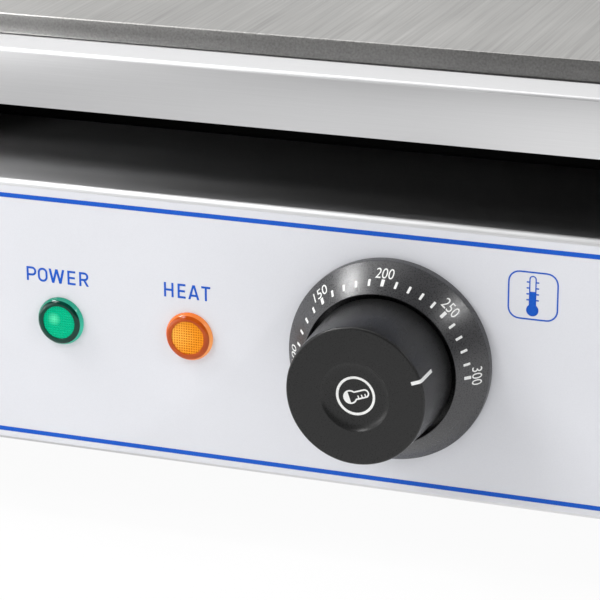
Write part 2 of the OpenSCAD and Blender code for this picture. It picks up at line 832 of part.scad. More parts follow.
module control_knob() color("dimgray") {
    dish_ball = (dish_r * dish_r + dish_depth * dish_depth) / (2 * dish_depth);
    cap = knob_h - dish_depth - knob_shell;
    out_front(knob_x, knob_z)
        difference() {
            union() {
                rotate_extrude()
                    difference() {
                        union() {
                            polygon([
                                [0, knob_foot_h],
                                [knob_foot_r, knob_foot_h],
                                [knob_r, knob_h - knob_round],
                                [0, knob_h - knob_round]
                            ]);
                            translate([0, knob_h - 2 * knob_round])
                                square([knob_r - knob_round, 2 * knob_round]);
                            translate([knob_r - knob_round, knob_h - knob_round]) circle(knob_round);
                        }
                        polygon([
                            [0, knob_foot_h - 1],
                            [knob_foot_r - knob_shell, knob_foot_h - 1],
                            [knob_r - knob_shell, cap],
                            [0, cap]
                        ]);
                        translate([0, knob_h - dish_depth + dish_ball])
                            intersection() {
                                circle(dish_ball);
                                translate([0, -2 * dish_ball]) square([dish_ball, 4 * dish_ball]);
                            }
                    }
                translate([0, 0, knob_foot_h - 4]) cylinder(r = hub_r, h = cap - knob_foot_h + 5);
            }
            rotate(pointer_angle)
                difference() {
                    cylinder(r = spindle_d / 2 + fixed_play, h = spindle_reach + 0.6);
                    translate([0.35 * spindle_d + fixed_play, -spindle_d, spindle_reach - 12])
                        cube([spindle_d, 2 * spindle_d, 20]);
                }
        }
}

module knob_clip() color("silver") {
    out_front(knob_x, knob_z, knob_foot_h - 3)
        rotate(pointer_angle + 12)
            rotate_extrude(angle = 336)
                translate([hub_r + fixed_play, 0]) square([0.7, 6]);
}

module dial_bezel() color("dimgray") {
    out_front(knob_x, knob_z, film_t)
        difference() {
            rotate_extrude()
                polygon([
                    [8, 0],
                    [bezel_r, 0],
                    [bezel_r, bezel_rim_h],
                    [bezel_in_r, bezel_h],
                    [bezel_in_r, bezel_h - 3],
                    [bezel_r - 2.6, bezel_floor_t],
                    [8, bezel_floor_t]
                ]);
            for (s = [-1, 1])
                translate([s * fixing_pitch / 2, 0, -1]) cylinder(r = hole_r, h = bezel_floor_t + 2);
        }
}

// Lens cap with a raised round-edged face and a hollow stem through the panel
module lamp_lens(x) {
    edge = lens_dome_r - lens_face_r;
    out_front(x, lamp_z, film_t)
        difference() {
            rotate_extrude() {
                square([lens_r, 1]);
                square([lens_dome_r, lens_h - edge]);
                square([lens_face_r, lens_h]);
                translate([lens_face_r, lens_h - edge])
                    intersection() {
                        circle(edge);
                        square(edge);
                    }
                translate([0, -stem_l]) square([lens_stem_r, stem_l + 1]);
            }
            translate([0, 0, -stem_l - 1]) cylinder(r = lens_stem_r - 1.3, h = stem_l + lens_h);
        }
}

module power_lamp_lens() color("limegreen") {
    lamp_lens(power_x);
}

module heat_lamp_lens() color("orange") {
    lamp_lens(heat_x);
}

module lamp_sockets() color("dimgray") {
    for (x = lamp_xs) {
        to_back(x, stem_l - film_t, lamp_z) cylinder(r = lens_stem_r, h = socket_l);
        for (s = [-1, 1])
            translate([x - 1.4, stem_l - film_t + socket_l - 1, lamp_z + 3 * s - 0.3]) cube([2.8, 8, 0.6]);
    }
}

module lamp_bulbs() color("lightyellow") {
    for (x = lamp_xs)
        to_back(x, 1, lamp_z) cylinder(r = lens_stem_r - 3.5, h = stem_l - film_t - 1);
}

module lamp_clips() color("silver") {
    for (x = lamp_xs)
        to_back(x, sheet_t, lamp_z)
            difference() {
                cylinder(r = lens_stem_r + 4, h = 0.6);
                translate([0, 0, -1]) cylinder(r = lens_stem_r + fixed_play, h = 3);
            }
}

module limiter_body() color("tan") {
    y = case_d - sheet_t - limiter_size.y;
    difference() {
        union() {
            translate([limiter_x - limiter_size.x / 2, y, limiter_z - limiter_size.z / 2])
                cube(limiter_size);
            to_back(limiter_x, case_d - 2 * sheet_t, limiter_z) cylinder(d = neck_d, h = 9);
        }
        to_back(limiter_x, case_d - 12, limiter_z) cylinder(r = button_d / 2 + running_play, h = 24);
    }
}

module limiter_button() color("red") {
    to_back(limiter_x, case_d - 8, limiter_z) cylinder(d = button_d, h = button_reach + 8);
}

module limiter_nut() color("silver") {
    to_back(limiter_x, case_d, limiter_z) hex_nut(1.4 * neck_d, neck_d + 2 * fixed_play, 0.4 * neck_d);
}

module limiter_bulb() color("peru") {
    turn_z = shield_z - lead_drop;
    end_y = case_d - sheet_t - limiter_size.y / 2;
    translate([limiter_x, bulb_y + bulb_l, bulb_z]) rotate([90, 0, 0]) cylinder(d = bulb_d, h = bulb_l);
    bent_bar(
        [
            [limiter_x, bulb_y + bulb_l - capillary_d, bulb_z],
            [limiter_x, limiter_drop_y, bulb_z],
            [limiter_x, limiter_drop_y, turn_z],
            [limiter_x, end_y, turn_z],
            [limiter_x, end_y, limiter_z + limiter_size.z / 2]
        ],
        capillary_d / 2,
        8
    );
}

module terminal_block() color("ivory") {
    translate([gland_x - block_size.x / 2, block_y, floor_z])
        difference() {
            cube(block_size);
            for (k = [1, 3, 5])
                translate([block_size.x * k / 6, block_size.y / 2, block_size.z - 8])
                    cylinder(r = screw_head_r + 0.6, h = 9);
            for (k = [1, 3, 5])
                translate([block_size.x * k / 6, block_size.y + 1, block_size.z / 2])
                    rotate([90, 0, 0]) cylinder(r = 2.6, h = 9);
        }
}

module terminal_screws() color("gold") {
    for (k = [-1, 0, 1])
        translate([gland_x + k * block_size.x / 3, block_y + block_size.y / 2, floor_z + block_size.z - 8])
            rotate([180, 0, 0]) pan_screw_head();
}

// Head of a clamping screw, from z = 0 down
module pan_screw_head() {
    difference() {
        translate([0, 0, -screw_head_h]) cylinder(r = screw_head_r, h = screw_head_h);
        translate([0, 0, -screw_head_h]) cube([2 * screw_head_r, 0.8, 1.6], center = true);
    }
}

module gland_body() color("dimgray") {
    to_back(gland_x, case_d - 10, gland_z)
        difference() {
            union() {
                cylinder(d = gland_d, h = 12);
                translate([0, 0, 10]) cylinder(r = (gland_d + 4) / sqrt(3), h = 6, $fn = 6);
                translate([0, 0, 15]) cylinder(d = gland_d - 2, h = 9);
            }
            translate([0, 0, -1]) cylinder(d = cable_d + 2, h = 30);
        }
}

module gland_nut() color("dimgray") {
    to_back(gland_x, case_d + 7, gland_z)
        difference() {
            union() {
                cylinder(r = (gland_d + 4) / sqrt(3), h = 8, $fn = 6);
                cylinder(d = gland_d + 3, h = 13);
                translate([0, 0, 13]) cylinder(d1 = gland_d + 3, d2 = cable_d + 5, h = gland_reach - 20);
            }
            translate([0, 0, -1]) cylinder(d = gland_d - 2 + 2 * fixed_play, h = 9);
            translate([0, 0, 7]) cylinder(d = cable_d, h = 20);
        }
}

module gland_seal() color("black") {
    to_back(gland_x, case_d + 3, gland_z)
        difference() {
            cylinder(d = cable_d + 2 - 2 * fixed_play, h = 11);
            translate([0, 0, -1]) cylinder(d = cable_d, h = 13);
        }
}

module gland_locknut() color("dimgray") {
    to_back(gland_x, case_d - sheet_t - gland_d / 4, gland_z)
        hex_nut(1.25 * gland_d, gland_d + 2 * fixed_play, gland_d / 4);
}

module bonding_stud() color("gold") {
    to_back(bonding_x, case_d - 12, gland_z) cylinder(d = bonding_d, h = bonding_neck + 12);
    to_back(bonding_x, case_d + bonding_neck, gland_z) cylinder(d = bonding_d - 0.8, h = 0.6);
    to_back(bonding_x, case_d + bonding_neck + 0.6, gland_z) cylinder(d = bonding_d, h = 8);
}

module bonding_nuts() color("gold") {
    bore = bonding_d + 2 * fixed_play;
    to_back(bonding_x, case_d - sheet_t - nut_h(bonding_d), gland_z)
        hex_nut(flats(bonding_d), bore, nut_h(bonding_d));
    to_back(bonding_x, case_d, gland_z)
        difference() {
            cylinder(r = bonding_d, h = 1.2);
            translate([0, 0, -1]) cylinder(d = bore, h = 4);
        }
    to_back(bonding_x, case_d + 1.25, gland_z) hex_nut(flats(bonding_d), bore, nut_h(bonding_d));
}

module wiring() color("firebrick") {
    tab_z = thermo_under - tab_l;
    inner = leg_x(0);
    outer = leg_x(element_legs - 1);
    pole = block_size.x / 3;
    low = wire_z + 8;
    lamp_y = stem_l - film_t + socket_l + 7;
    lamp_turn_x = knob_x - thermo_size.x / 2 - 14;
    runs = [
        [
            [gland_x - pole, block_y, wire_z],
            [gland_x - pole, tab_row_a, wire_z],
            [knob_x - 8, tab_row_a, wire_z],
            [knob_x - 8, tab_row_a, tab_z]
        ],
        [
            [gland_x, block_y, wire_z],
            [gland_x, terminal_y, wire_z],
            [-inner, terminal_y, wire_z],
            [-inner, terminal_y, pin_z]
        ],
        [
            [gland_x + pole, block_y, wire_z],
            [gland_x + pole, terminal_y + 24, wire_z],
            [inner, terminal_y + 24, wire_z],
            [inner, terminal_y + 24, wire_z + 30],
            [inner, terminal_y, wire_z + 30],
            [inner, terminal_y, pin_z]
        ],
        [
            [knob_x + 8, tab_row_a, tab_z],
            [knob_x + 8, tab_row_a, wire_z - 4],
            [foot_x - 24, tab_row_a, wire_z - 4],
            [foot_x - 24, terminal_y, wire_z - 4],
            [outer, terminal_y, wire_z - 4],
            [outer, terminal_y, pin_z]
        ],
        [
            [knob_x, tab_row_b, tab_z],
            [knob_x, tab_row_b, wire_z - 4],
            [24 - foot_x, tab_row_b, wire_z - 4],
            [24 - foot_x, terminal_y, wire_z - 4],
            [-outer, terminal_y, wire_z - 4],
            [-outer, terminal_y, pin_z]
        ],
        [
            [power_x, lamp_y, lamp_z + 3],
            [power_x, lamp_y + 14, lamp_z + 3],
            [lamp_turn_x, lamp_y + 14, lamp_z + 3],
            [lamp_turn_x, tab_row_b, lamp_z + 3],
            [knob_x - thermo_size.x / 2, tab_row_b, lamp_z + 3]
        ],
        [
            [heat_x, lamp_y, lamp_z - 3],
            [heat_x, lamp_y + 14, lamp_z - 3],
            [heat_x, lamp_y + 14, low],
            [lamp_turn_x, lamp_y + 14, low],
            [lamp_turn_x, tab_row_b, low],
            [lamp_turn_x, tab_row_b, knob_z - 10],
            [knob_x - thermo_size.x / 2, tab_row_b, knob_z - 10]
        ]
    ];
    for (run = runs)
        bent_bar(run, wire_r, wire_bend_r);
}

module drawer_pan() color("silver") {
    d = pan_back - pan_y;
    walls = 2 * drawer_t;
    translate([drawer_x, pan_y + d / 2, drawer_z])
        difference() {
            linear_extrude(pan_top - drawer_z) rounded(pan_w, d, pan_corner_r);
            translate([0, 0, drawer_t])
                linear_extrude(gap_h) rounded(pan_w - walls, d - walls, pan_corner_r - drawer_t);
            for (s = [-1, 1])
                translate([s * handle_span / 2, -d / 2 - 1, handle_z - drawer_z])
                    rotate([-90, 0, 0]) cylinder(r = hole_r, h = 4);
        }
}

module drawer_front() color("silver") {
    h = front_top - drawer_z;
    difference() {
        out_front(drawer_x, drawer_z + h / 2, -pan_y) linear_extrude(drawer_t) rounded(drawer_w, h, 2.5);
        for (s = [-1, 1])
            to_back(drawer_x + s * handle_span / 2, drawer_y - 1, handle_z) cylinder(r = hole_r, h = 4);
    }
}

module drawer_handle() color("silver") {
    x = handle_span / 2;
    bow = [[-x, drawer_y, 0], [-x, handle_y, 0], [x, handle_y, 0], [x, drawer_y, 0]];
    difference() {
        translate([drawer_x, 0, handle_z]) bent_bar(bow, handle_d / 2, handle_bend_r);
        for (s = [-1, 1])
            to_back(drawer_x + s * x, drawer_y - 9, handle_z)
                cylinder(r = 0.42 * screw_d + fixed_play, h = 12);
    }
}

module drawer_screws() color("silver") {
    y = pan_y + drawer_t;
    for (s = [-1, 1])
        out_front(drawer_x + s * handle_span / 2, handle_z, -y) {
            cylinder(d = 0.84 * screw_d, h = 2.25 * screw_d);
            translate([0, 0, -0.45 * screw_d])
                difference() {
                    cylinder(r = screw_head_r, h = 0.45 * screw_d);
                    cube([2 * screw_head_r, 0.2 * screw_d, 0.35 * screw_d], center = true);
                }
        }
}

module drawer_runners() color("silver") {
    for (s = [-1, 1])
        translate([drawer_x, runner_y, ledge_z])
            mirror([s < 0 ? 1 : 0, 0, 0])
                translate([pan_w / 2 + drawer_play, 0, 0]) {
                    cube([sheet_t, pan_back - runner_y, runner_h]);
                    cube([0.9 * runner_h, pan_back - runner_y, sheet_t]);
                }
}

// Rubber pad with a stepped foot, under one corner
module foot_pad() {
    top = foot_nut_top - foot_nut_t;
    difference() {
        rotate_extrude()
            polygon([
                [0, 0],
                [foot_d / 2 - 2, 0],
                [foot_d / 2, 1.5],
                [foot_d / 2, 8],
                [0.4 * foot_d, 11],
                [0.36 * foot_d, top - 1.5],
                [0.36 * foot_d - 1.5, top],
                [0, top]
            ]);
        translate([0, 0, 7]) cylinder(r = foot_stud_d / 2 + fixed_play, h = top);
    }
}

// Threaded stud in a pad, with the nut that turns it
module foot_stud() {
    translate([0, 0, 7]) cylinder(d = foot_stud_d, h = floor_z + weld_nut_t + 10 - 7);
    translate([0, 0, foot_nut_top - foot_nut_t])
        cylinder(r = 1.625 * foot_stud_d / sqrt(3), h = foot_nut_t, $fn = 6);
}

module foot_at(x, y) {
    translate([x, y, 0]) children();
}

module foot_pad_fl() color("dimgray") {
    foot_at(-foot_x, foot_inset) foot_pad();
}

module foot_pad_fr() color("dimgray") {
    foot_at(foot_x, foot_inset) foot_pad();
}

module foot_pad_bl() color("dimgray") {
    foot_at(-foot_x, case_d - foot_inset) foot_pad();
}

module foot_pad_br() color("dimgray") {
    foot_at(foot_x, case_d - foot_inset) foot_pad();
}

module foot_stud_fl() color("silver") {
    foot_at(-foot_x, foot_inset) foot_stud();
}

module foot_stud_fr() color("silver") {
    foot_at(foot_x, foot_inset) foot_stud();
}

module foot_stud_bl() color("silver") {
    foot_at(-foot_x, case_d - foot_inset) foot_stud();
}

module foot_stud_br() color("silver") {
    foot_at(foot_x, case_d - foot_inset) foot_stud();
}

module foot_nuts() color("silver") {
    for (x = [-foot_x, foot_x], y = [foot_inset, case_d - foot_inset])
        translate([x, y, floor_z]) hex_nut(13, foot_stud_d + 2 * running_play, weld_nut_t);
}

module case_screws() color("silver") {
    both_sides()
        for (s = side_screws)
            translate([half_w, s.x, s.y]) rotate([0, -90, 0]) pan_screw(7);
    for (s = base_screws)
        translate([s.x, s.y, base_z]) pan_screw(7);
}

module top_fasteners() color("silver") {
    for (s = top_screws) {
        translate([s.x, s.y, lip_z - sheet_t]) pan_screw(2 * screw_d);
        translate([s.x, s.y, lip_z + top_t])
            hex_nut(1.75 * screw_d, screw_d + 2 * fixed_play, 0.8 * screw_d);
    }
}

placed() base_pan();
placed() left_side();
placed() right_side();
placed() back_panel();
placed() front_panel();
placed() panel_film();
placed() griddle_plate();
placed() splash_guard();
placed() front_trough();
placed() drain_spout();
placed() left_element();
placed() right_element();
placed() element_beads();
placed() clamp_bars();
placed() plate_studs();
placed() clamp_nuts();
placed() insulation_board();
placed() heat_shield();
placed() shield_nuts();
placed() thermostat_body();
placed() thermostat_spindle();
placed() thermostat_bulb();
placed() thermostat_screws();
placed() control_knob();
placed() knob_clip();
placed() dial_bezel();
placed() power_lamp_lens();
placed() heat_lamp_lens();
placed() lamp_sockets();
placed() lamp_bulbs();
placed() lamp_clips();
placed() limiter_body();
placed() limiter_button();
placed() limiter_nut();
placed() limiter_bulb();
placed() terminal_block();
placed() terminal_screws();
placed() gland_body();
placed() gland_nut();
placed() gland_seal();
placed() gland_locknut();
placed() bonding_stud();
placed() bonding_nuts();
placed() wiring();
placed() drawer_pan();
placed() drawer_front();
placed() drawer_handle();
placed() drawer_screws();
placed() drawer_runners();
placed() foot_pad_fl();
placed() foot_pad_fr();
placed() foot_pad_bl();
placed() foot_pad_br();
placed() foot_stud_fl();
placed() foot_stud_fr();
placed() foot_stud_bl();
placed() foot_stud_br();
placed() foot_nuts();
placed() case_screws();
placed() top_fasteners();
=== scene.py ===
"""Dresses the countertop griddle: steel sheets, printed panel, dial, lamps, drawer and feet."""

import logging
from collections.abc import Callable, Iterator, Sequence
from contextlib import contextmanager
from dataclasses import dataclass, replace
from enum import Enum
from math import asin, cos, pi, radians, sin

import bpy
from bpy.types import Material, Node, NodeTree, Object
from mathutils import Matrix, Vector


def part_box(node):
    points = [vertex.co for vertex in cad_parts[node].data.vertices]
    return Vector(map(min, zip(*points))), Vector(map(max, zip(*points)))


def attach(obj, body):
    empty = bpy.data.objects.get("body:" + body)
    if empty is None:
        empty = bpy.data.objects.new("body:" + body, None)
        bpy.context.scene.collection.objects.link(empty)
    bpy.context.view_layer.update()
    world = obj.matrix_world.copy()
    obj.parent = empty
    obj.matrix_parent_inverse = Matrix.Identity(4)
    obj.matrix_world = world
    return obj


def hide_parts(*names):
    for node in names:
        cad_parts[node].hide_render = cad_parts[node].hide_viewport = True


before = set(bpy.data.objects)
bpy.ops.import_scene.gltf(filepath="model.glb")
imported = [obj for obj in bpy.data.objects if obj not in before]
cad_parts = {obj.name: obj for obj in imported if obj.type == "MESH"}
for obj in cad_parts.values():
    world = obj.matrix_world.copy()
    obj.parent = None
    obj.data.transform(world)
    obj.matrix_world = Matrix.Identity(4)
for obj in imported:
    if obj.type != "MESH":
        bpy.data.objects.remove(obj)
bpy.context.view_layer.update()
LOG = logging.getLogger("griddle")

MM = 0.001
# The control panel's face is depth 0, as in the part's source
FACE_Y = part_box("front_panel")[0].y / MM
FRONT = Vector((0, -1, 0))
UP = Vector((0, 0, 1))
RIGHT = Vector((1, 0, 0))
# Local X, Y and Z of a flat print turned to the right, up and out of the panel
ON_PANEL = Matrix(((1, 0, 0, 0), (0, 0, -1, 0), (0, 1, 0, 0), (0, 0, 0, 1)))
# Thickness of a layer of ink, and its lift off the surface, in millimetres
INK_T = 0.04
INK_LIFT = 0.03
# Points closer than this, in metres, are merged
MERGE = 0.002 * MM
# Faces that meet at less than this, in degrees, are shaded as one surface
SMOOTH_ANGLE = 35
# Most of a noise texture lies between these levels
NOISE_SPAN = (0.3, 0.7)
# Turn of the shader's long highlights, in whole turns, that draws them out across the grain
ACROSS_GRAIN = 0.25
# Sockets of a Map Range node, in the order in which its values are written here
SPAN = ("From Min", "From Max", "To Min", "To Max")

# Points or pairs of radius and height, in millimetres
Flat = Sequence[Sequence[float]]


def at(x: float, depth: float, z: float) -> Vector:
    """Turns millimetres, with the depth behind the panel's face, into a place in the frame."""
    return Vector((x, FACE_Y + depth, z)) * MM


def linear(code: str) -> tuple[float, ...]:
    """Turns an sRGB hex colour into linear light with full alpha."""
    parts = (int(code[i : i + 2], 16) / 255 for i in (1, 3, 5))
    return (*(p / 12.92 if p <= 0.04045 else ((p + 0.055) / 1.055) ** 2.4 for p in parts), 1.0)


def add_node(
    tree: NodeTree, kind: str, settings: dict[str, object] | None = None, links: dict | None = None
) -> Node:
    """Adds one shader node.

    Args:
        tree: The tree that gets the node.
        kind: Blender's name of the node's type.
        settings: Values of the node's properties or of its unlinked sockets, or a ramp's stops.
        links: For a socket of the node, the output that feeds it.

    Returns:
        The new node.
    """
    made = tree.nodes.new(kind)
    for key, value in (settings or {}).items():
        if key == "stops":
            for stop, (place, code) in zip(made.color_ramp.elements, value):
                stop.position, stop.color = place, linear(code)
        elif hasattr(made, key):
            setattr(made, key, value)
        else:
            made.inputs[key].default_value = value
    for key, source in (links or {}).items():
        tree.links.new(source, made.inputs[key])
    return made


class Grain(Enum):
    """How far a surface's pattern is drawn out along X, Y and Z."""

    EVEN = (1.0, 1.0, 1.0)
    ALONG_X = (0.012, 1.0, 1.0)
    ALONG_Y = (1.0, 0.012, 1.0)
    ALONG_Z = (1.0, 1.0, 0.012)


@dataclass(frozen=True)
class Finish:
    """A surface whose colour, gloss and relief vary with one grain and with broad clouds.

    Sizes are in millimetres; roughness varies by the spread. A streak draws highlights out across the
    grain, as lines too fine to see do, and sockets holds constants of the shader.
    """

    name: str
    dark: str
    light: str
    roughness: float
    grain_mm: float
    relief_mm: float = 0.0
    spread: float = 0.06
    grain: Grain = Grain.EVEN
    cloud_mm: float = 70.0
    cloud_share: float = 0.35
    streak: float = 0.0
    sockets: tuple[tuple[str, object], ...] = ()

    def material(self) -> Material:
        """Returns the finish's material, which is made once."""
        made = bpy.data.materials.get(self.name)
        if made is None:
            made = bpy.data.materials.new(self.name)
            made.use_nodes = True
            self.paint(made.node_tree, made.node_tree.nodes["Principled BSDF"])
        return made

    def paint(self, tree: NodeTree, shader: Node) -> None:
        """Feeds the shader's colour, roughness and normal from the grain.

        Args:
            tree: The material's nodes.
            shader: Its principled shader.
        """
        place = add_node(tree, "ShaderNodeTexCoord").outputs["Object"]
        stretch = [share / (self.grain_mm * MM) for share in self.grain.value]
        drawn = add_node(tree, "ShaderNodeMapping", {"Scale": stretch}, {"Vector": place})
        grain = add_node(
            tree, "ShaderNodeTexNoise", {"Scale": 1.0, "Detail": 3.0}, {"Vector": drawn.outputs[0]}
        ).outputs[0]
        broad = {"Scale": 1 / (self.cloud_mm * MM), "Detail": 2.0}
        cloud = add_node(tree, "ShaderNodeTexNoise", broad, {"Vector": place}).outputs[0]
        tone = add_node(
            tree, "ShaderNodeMix", {"Factor": self.cloud_share}, {"A": grain, "B": cloud}
        ).outputs[0]
        stops = zip(NOISE_SPAN, (self.dark, self.light))
        colour = add_node(tree, "ShaderNodeValToRGB", {"stops": stops}, {"Fac": tone})
        ends = (*NOISE_SPAN, self.roughness - self.spread, self.roughness + self.spread)
        gloss = add_node(tree, "ShaderNodeMapRange", dict(zip(SPAN, ends)), {"Value": grain})
        tree.links.new(colour.outputs["Color"], shader.inputs["Base Color"])
        tree.links.new(gloss.outputs["Result"], shader.inputs["Roughness"])
        if self.relief_mm:
            depth = {"Strength": 1.0, "Distance": self.relief_mm * MM}
            relief = add_node(tree, "ShaderNodeBump", depth, {"Height": grain})
            tree.links.new(relief.outputs["Normal"], shader.inputs["Normal"])
        if self.streak:
            axis = {key: float(share < 1) for key, share in zip("XYZ", self.grain.value)}
            tangent = add_node(tree, "ShaderNodeCombineXYZ", axis).outputs[0]
            tree.links.new(tangent, shader.inputs["Tangent"])
            shader.inputs["Anisotropic"].default_value = self.streak
            shader.inputs["Anisotropic Rotation"].default_value = ACROSS_GRAIN
        for key, value in self.sockets:
            shader.inputs[key].default_value = value


METAL = (("Metallic", 1.0),)
DULL = (("Specular IOR Level", 0.32),)
MATT = (("Specular IOR Level", 0.08),)
GLOSSY = (("Specular IOR Level", 0.65),)

# Cold-rolled stainless sheet with a fine ground grain: soft, and drawn out across the grain.
# The real lines are about 0.05 mm apart; here they are wide enough to show.
STAINLESS_SHEET = Finish(
    "stainless_sheet_ground",
    "#d3d3d4",
    "#dadadb",
    roughness=0.34,
    grain_mm=0.5,
    relief_mm=0.0006,
    spread=0.03,
    grain=Grain.ALONG_X,
    streak=0.5,
    sockets=METAL,
)
# The ledge, a darker copy of the sheet as painted shade under the lip: a lamp on the left shows as a band
# that fades to the right
LEDGE_SHADE_SHEET = replace(
    STAINLESS_SHEET,
    name="stainless_ledge_shade",
    dark="#aeaeaf",
    light="#bcbcbd",
    roughness=0.35,
    streak=1.0,
)
# The same sheet over the front bends, lighter as a painted highlight, and rougher where its grain opens, so
# a lamp spreads into a white line
BEND_HIGHLIGHT_SHEET = replace(
    STAINLESS_SHEET,
    name="stainless_bend_highlight",
    dark="#dcdcdd",
    light="#e4e4e5",
    roughness=0.49,
    streak=0.0,
)
# The walls of the splash guard: a little smoother and greyer than the lip
GUARD_SHEET = replace(
    STAINLESS_SHEET,
    name="stainless_guard_ground",
    dark="#cececf",
    light="#d8d8d9",
    roughness=0.30,
    relief_mm=0.0008,
    streak=0.6,
)
# Underside of the cooking top and the baffle below it, painted black as the shade in the gap under the lip:
# matt, nearly no mirror
GAP_SHADE_BLACK = Finish("gap_shade_black", "#101010", "#1c1c1c", 0.75, 0.8, 0.01, sockets=MATT)
# Thick steel plate, surface ground: a greyer, coarser grain that runs from front to back
GROUND_PLATE = Finish(
    "steel_plate_ground", "#8d8c8a", "#b3b2b0", 0.36, 0.9, 0.006, 0.08, Grain.ALONG_Y, sockets=METAL
)
# Bead of weld along the plate, brushed after welding: dull, with short ripples
WELD_BEAD = Finish("steel_weld_brushed", "#83817d", "#aaa8a4", 0.42, 1.6, 0.08, sockets=METAL)
# Galvanised sheet inside the case: pale grey with a cloudy spangle
GALVANISED = Finish("steel_sheet_galvanised", "#8f9294", "#b5b8ba", 0.45, 6.0, 0.003, sockets=METAL)
# Zinc-plated screws and nuts: bright grey with a faint blue
ZINC_PLATE = Finish("steel_zinc_plated", "#a3a6aa", "#c6c8cb", 0.32, 0.6, 0.004, sockets=METAL)
# Polished chrome plate on the bow handle: a clear mirror with a slight ripple
CHROME = Finish("steel_chrome_plated", "#d2d3d5", "#dedfe1", 0.10, 3.0, 0.002, 0.03, sockets=METAL)
# Heating tube with a baked oxide skin: dull brown black
OXIDE_TUBE = Finish("element_tube_oxidised", "#38332f", "#554e48", 0.55, 1.2, 0.01, sockets=METAL)
# Drawn copper of the bulbs and capillaries
COPPER = Finish("copper_drawn", "#b0694a", "#cc8663", 0.35, 0.8, 0.004, sockets=METAL)
# Nickel-plated brass of the bonding stud and its nuts
NICKEL_BRASS = Finish("brass_nickel_plated", "#b3aea2", "#cdc9bd", 0.30, 0.7, 0.004, sockets=METAL)
# Polyester overlay with a satin hard coat: an even cool grey white with a very fine tooth
SATIN_FILM = Finish("polyester_film_satin", "#d9dadf", "#e0e1e6", 0.42, 0.4, 0.001, cloud_share=0.6)
# Screen-printed blue on the overlay: flat, a little uneven in cover
BLUE_INK = Finish("screen_ink_blue", "#1a55bd", "#2460c8", 0.45, 0.5, 0.002, sockets=MATT)
# Pad-printed white on the dial and the knob
WHITE_INK = Finish("pad_ink_white", "#e4e4e2", "#f2f2f0", 0.45, 0.5, 0.002)
# Moulded heat-resistant plastic of the bezel: charcoal, with a spark-eroded tooth
BEZEL_PLASTIC = Finish(
    "phenolic_bezel_textured", "#29292b", "#363638", 0.30, 0.45, 0.04, 0.08, sockets=GLOSSY
)
# Moulded knob: deeper black and smoother than the bezel
KNOB_PLASTIC = Finish("phenolic_knob_satin", "#1b1b1b", "#232323", 0.30, 0.35, 0.006, 0.05, sockets=DULL)
# Black nylon of the lamp sockets, the gland and the limiter
BLACK_NYLON = Finish("nylon_black_moulded", "#171717", "#252525", 0.45, 0.5, 0.01)
# Red nylon of the reset button
RED_NYLON = Finish("nylon_red_moulded", "#a3161a", "#c02226", 0.38, 0.5, 0.008)
# Natural thermoset of the thermostat and the terminal block
CREAM_THERMOSET = Finish("thermoset_cream_moulded", "#cfc5ac", "#ddd4bd", 0.50, 0.8, 0.01)
# Black rubber feet with a bloom on their surface
FOOT_RUBBER = Finish("rubber_black_moulded", "#1b1b1b", "#2b2b2b", 0.70, 0.8, 0.03)
# Steatite beads: chalky white with faint specks
STEATITE = Finish("steatite_fired", "#d9d2c4", "#ebe6da", 0.65, 0.5, 0.01)
# Pressed mineral fibre: matted, uneven, buff
FIBRE_BOARD = Finish("mineral_fibre_board", "#b9a987", "#d8cbab", 0.95, 2.2, 0.4)
# Silicone-glass sleeve on the wires: a tight braid in off-white
WIRE_SLEEVE = Finish("glass_braid_sleeve", "#c5beb0", "#ded8cc", 0.75, 0.9, 0.08)
# Clear glass envelope of the lamps
LAMP_GLASS = Finish(
    "glass_lamp_envelope", "#f0e4d8", "#fff6ec", 0.08, 2.0, sockets=(("Transmission Weight", 0.8),)
)


@dataclass(frozen=True)
class LitFace(Finish):
    """A part of a pilot lamp with a glow painted on as emission, standing for light that comes through it.

    The painted glow is brightest at the spot, in metres, and the reach is how far it spreads.
    """

    hot: str = "#ffffff"
    spot: tuple[float, float, float] = (0.0, 0.0, 0.0)
    reach_mm: float = 3.2
    glow: float = 0.5

    def paint(self, tree: NodeTree, shader: Node) -> None:
        """Adds the painted glow to the plain finish.

        Args:
            tree: The material's nodes.
            shader: Its principled shader.
        """
        super().paint(tree, shader)
        place = add_node(tree, "ShaderNodeTexCoord").outputs["Object"]
        size = self.reach_mm * MM
        middle = {"vector_type": "TEXTURE", "Location": self.spot, "Scale": (size, size, size)}
        about = add_node(tree, "ShaderNodeMapping", middle, {"Vector": place})
        ball = {"gradient_type": "SPHERICAL"}
        near = add_node(tree, "ShaderNodeTexGradient", ball, {"Vector": about.outputs[0]})
        stops = ((0.0, self.dark), (1.0, self.hot))
        light = add_node(tree, "ShaderNodeValToRGB", {"stops": stops}, {"Fac": near.outputs["Fac"]})
        tree.links.new(light.outputs["Color"], shader.inputs["Emission Color"])
        shader.inputs["Emission Strength"].default_value = self.glow


LENS = (("Transmission Weight", 0.1), ("IOR", 1.58), ("Specular IOR Level", 0.26))
# Tinted polycarbonate, darkened as painted shade where the thick round edge of a lens bends away and
# swallows the light that its middle lets through
GREEN_EDGE_SHADE = Finish("polycarbonate_green_edge_shade", "#013228", "#03483a", 0.12, 4.0, 0.0, 0.03, sockets=LENS)
AMBER_EDGE_SHADE = Finish("polycarbonate_amber_edge_shade", "#b0440c", "#c85812", 0.12, 4.0, 0.0, 0.03, sockets=LENS)


def pick(*pieces: Object) -> None:
    """Selects these objects alone, with the last of them active."""
    bpy.ops.object.select_all(action="DESELECT")
    for piece in pieces:
        piece.select_set(True)
        bpy.context.view_layer.objects.active = piece


@contextmanager
def editing(piece: Object) -> Iterator[None]:
    """Opens a piece in edit mode with all of it selected, and closes it after the steps inside."""
    pick(piece)
    bpy.ops.object.mode_set(mode="EDIT")
    bpy.ops.mesh.select_mode(type="VERT")
    bpy.ops.mesh.select_all(action="SELECT")
    yield
    bpy.ops.object.mode_set(mode="OBJECT")


def push(step: Vector) -> None:
    """Extrudes what is selected in edit mode by a step."""
    bpy.ops.mesh.extrude_region_move(TRANSFORM_OT_translate={"value": step})


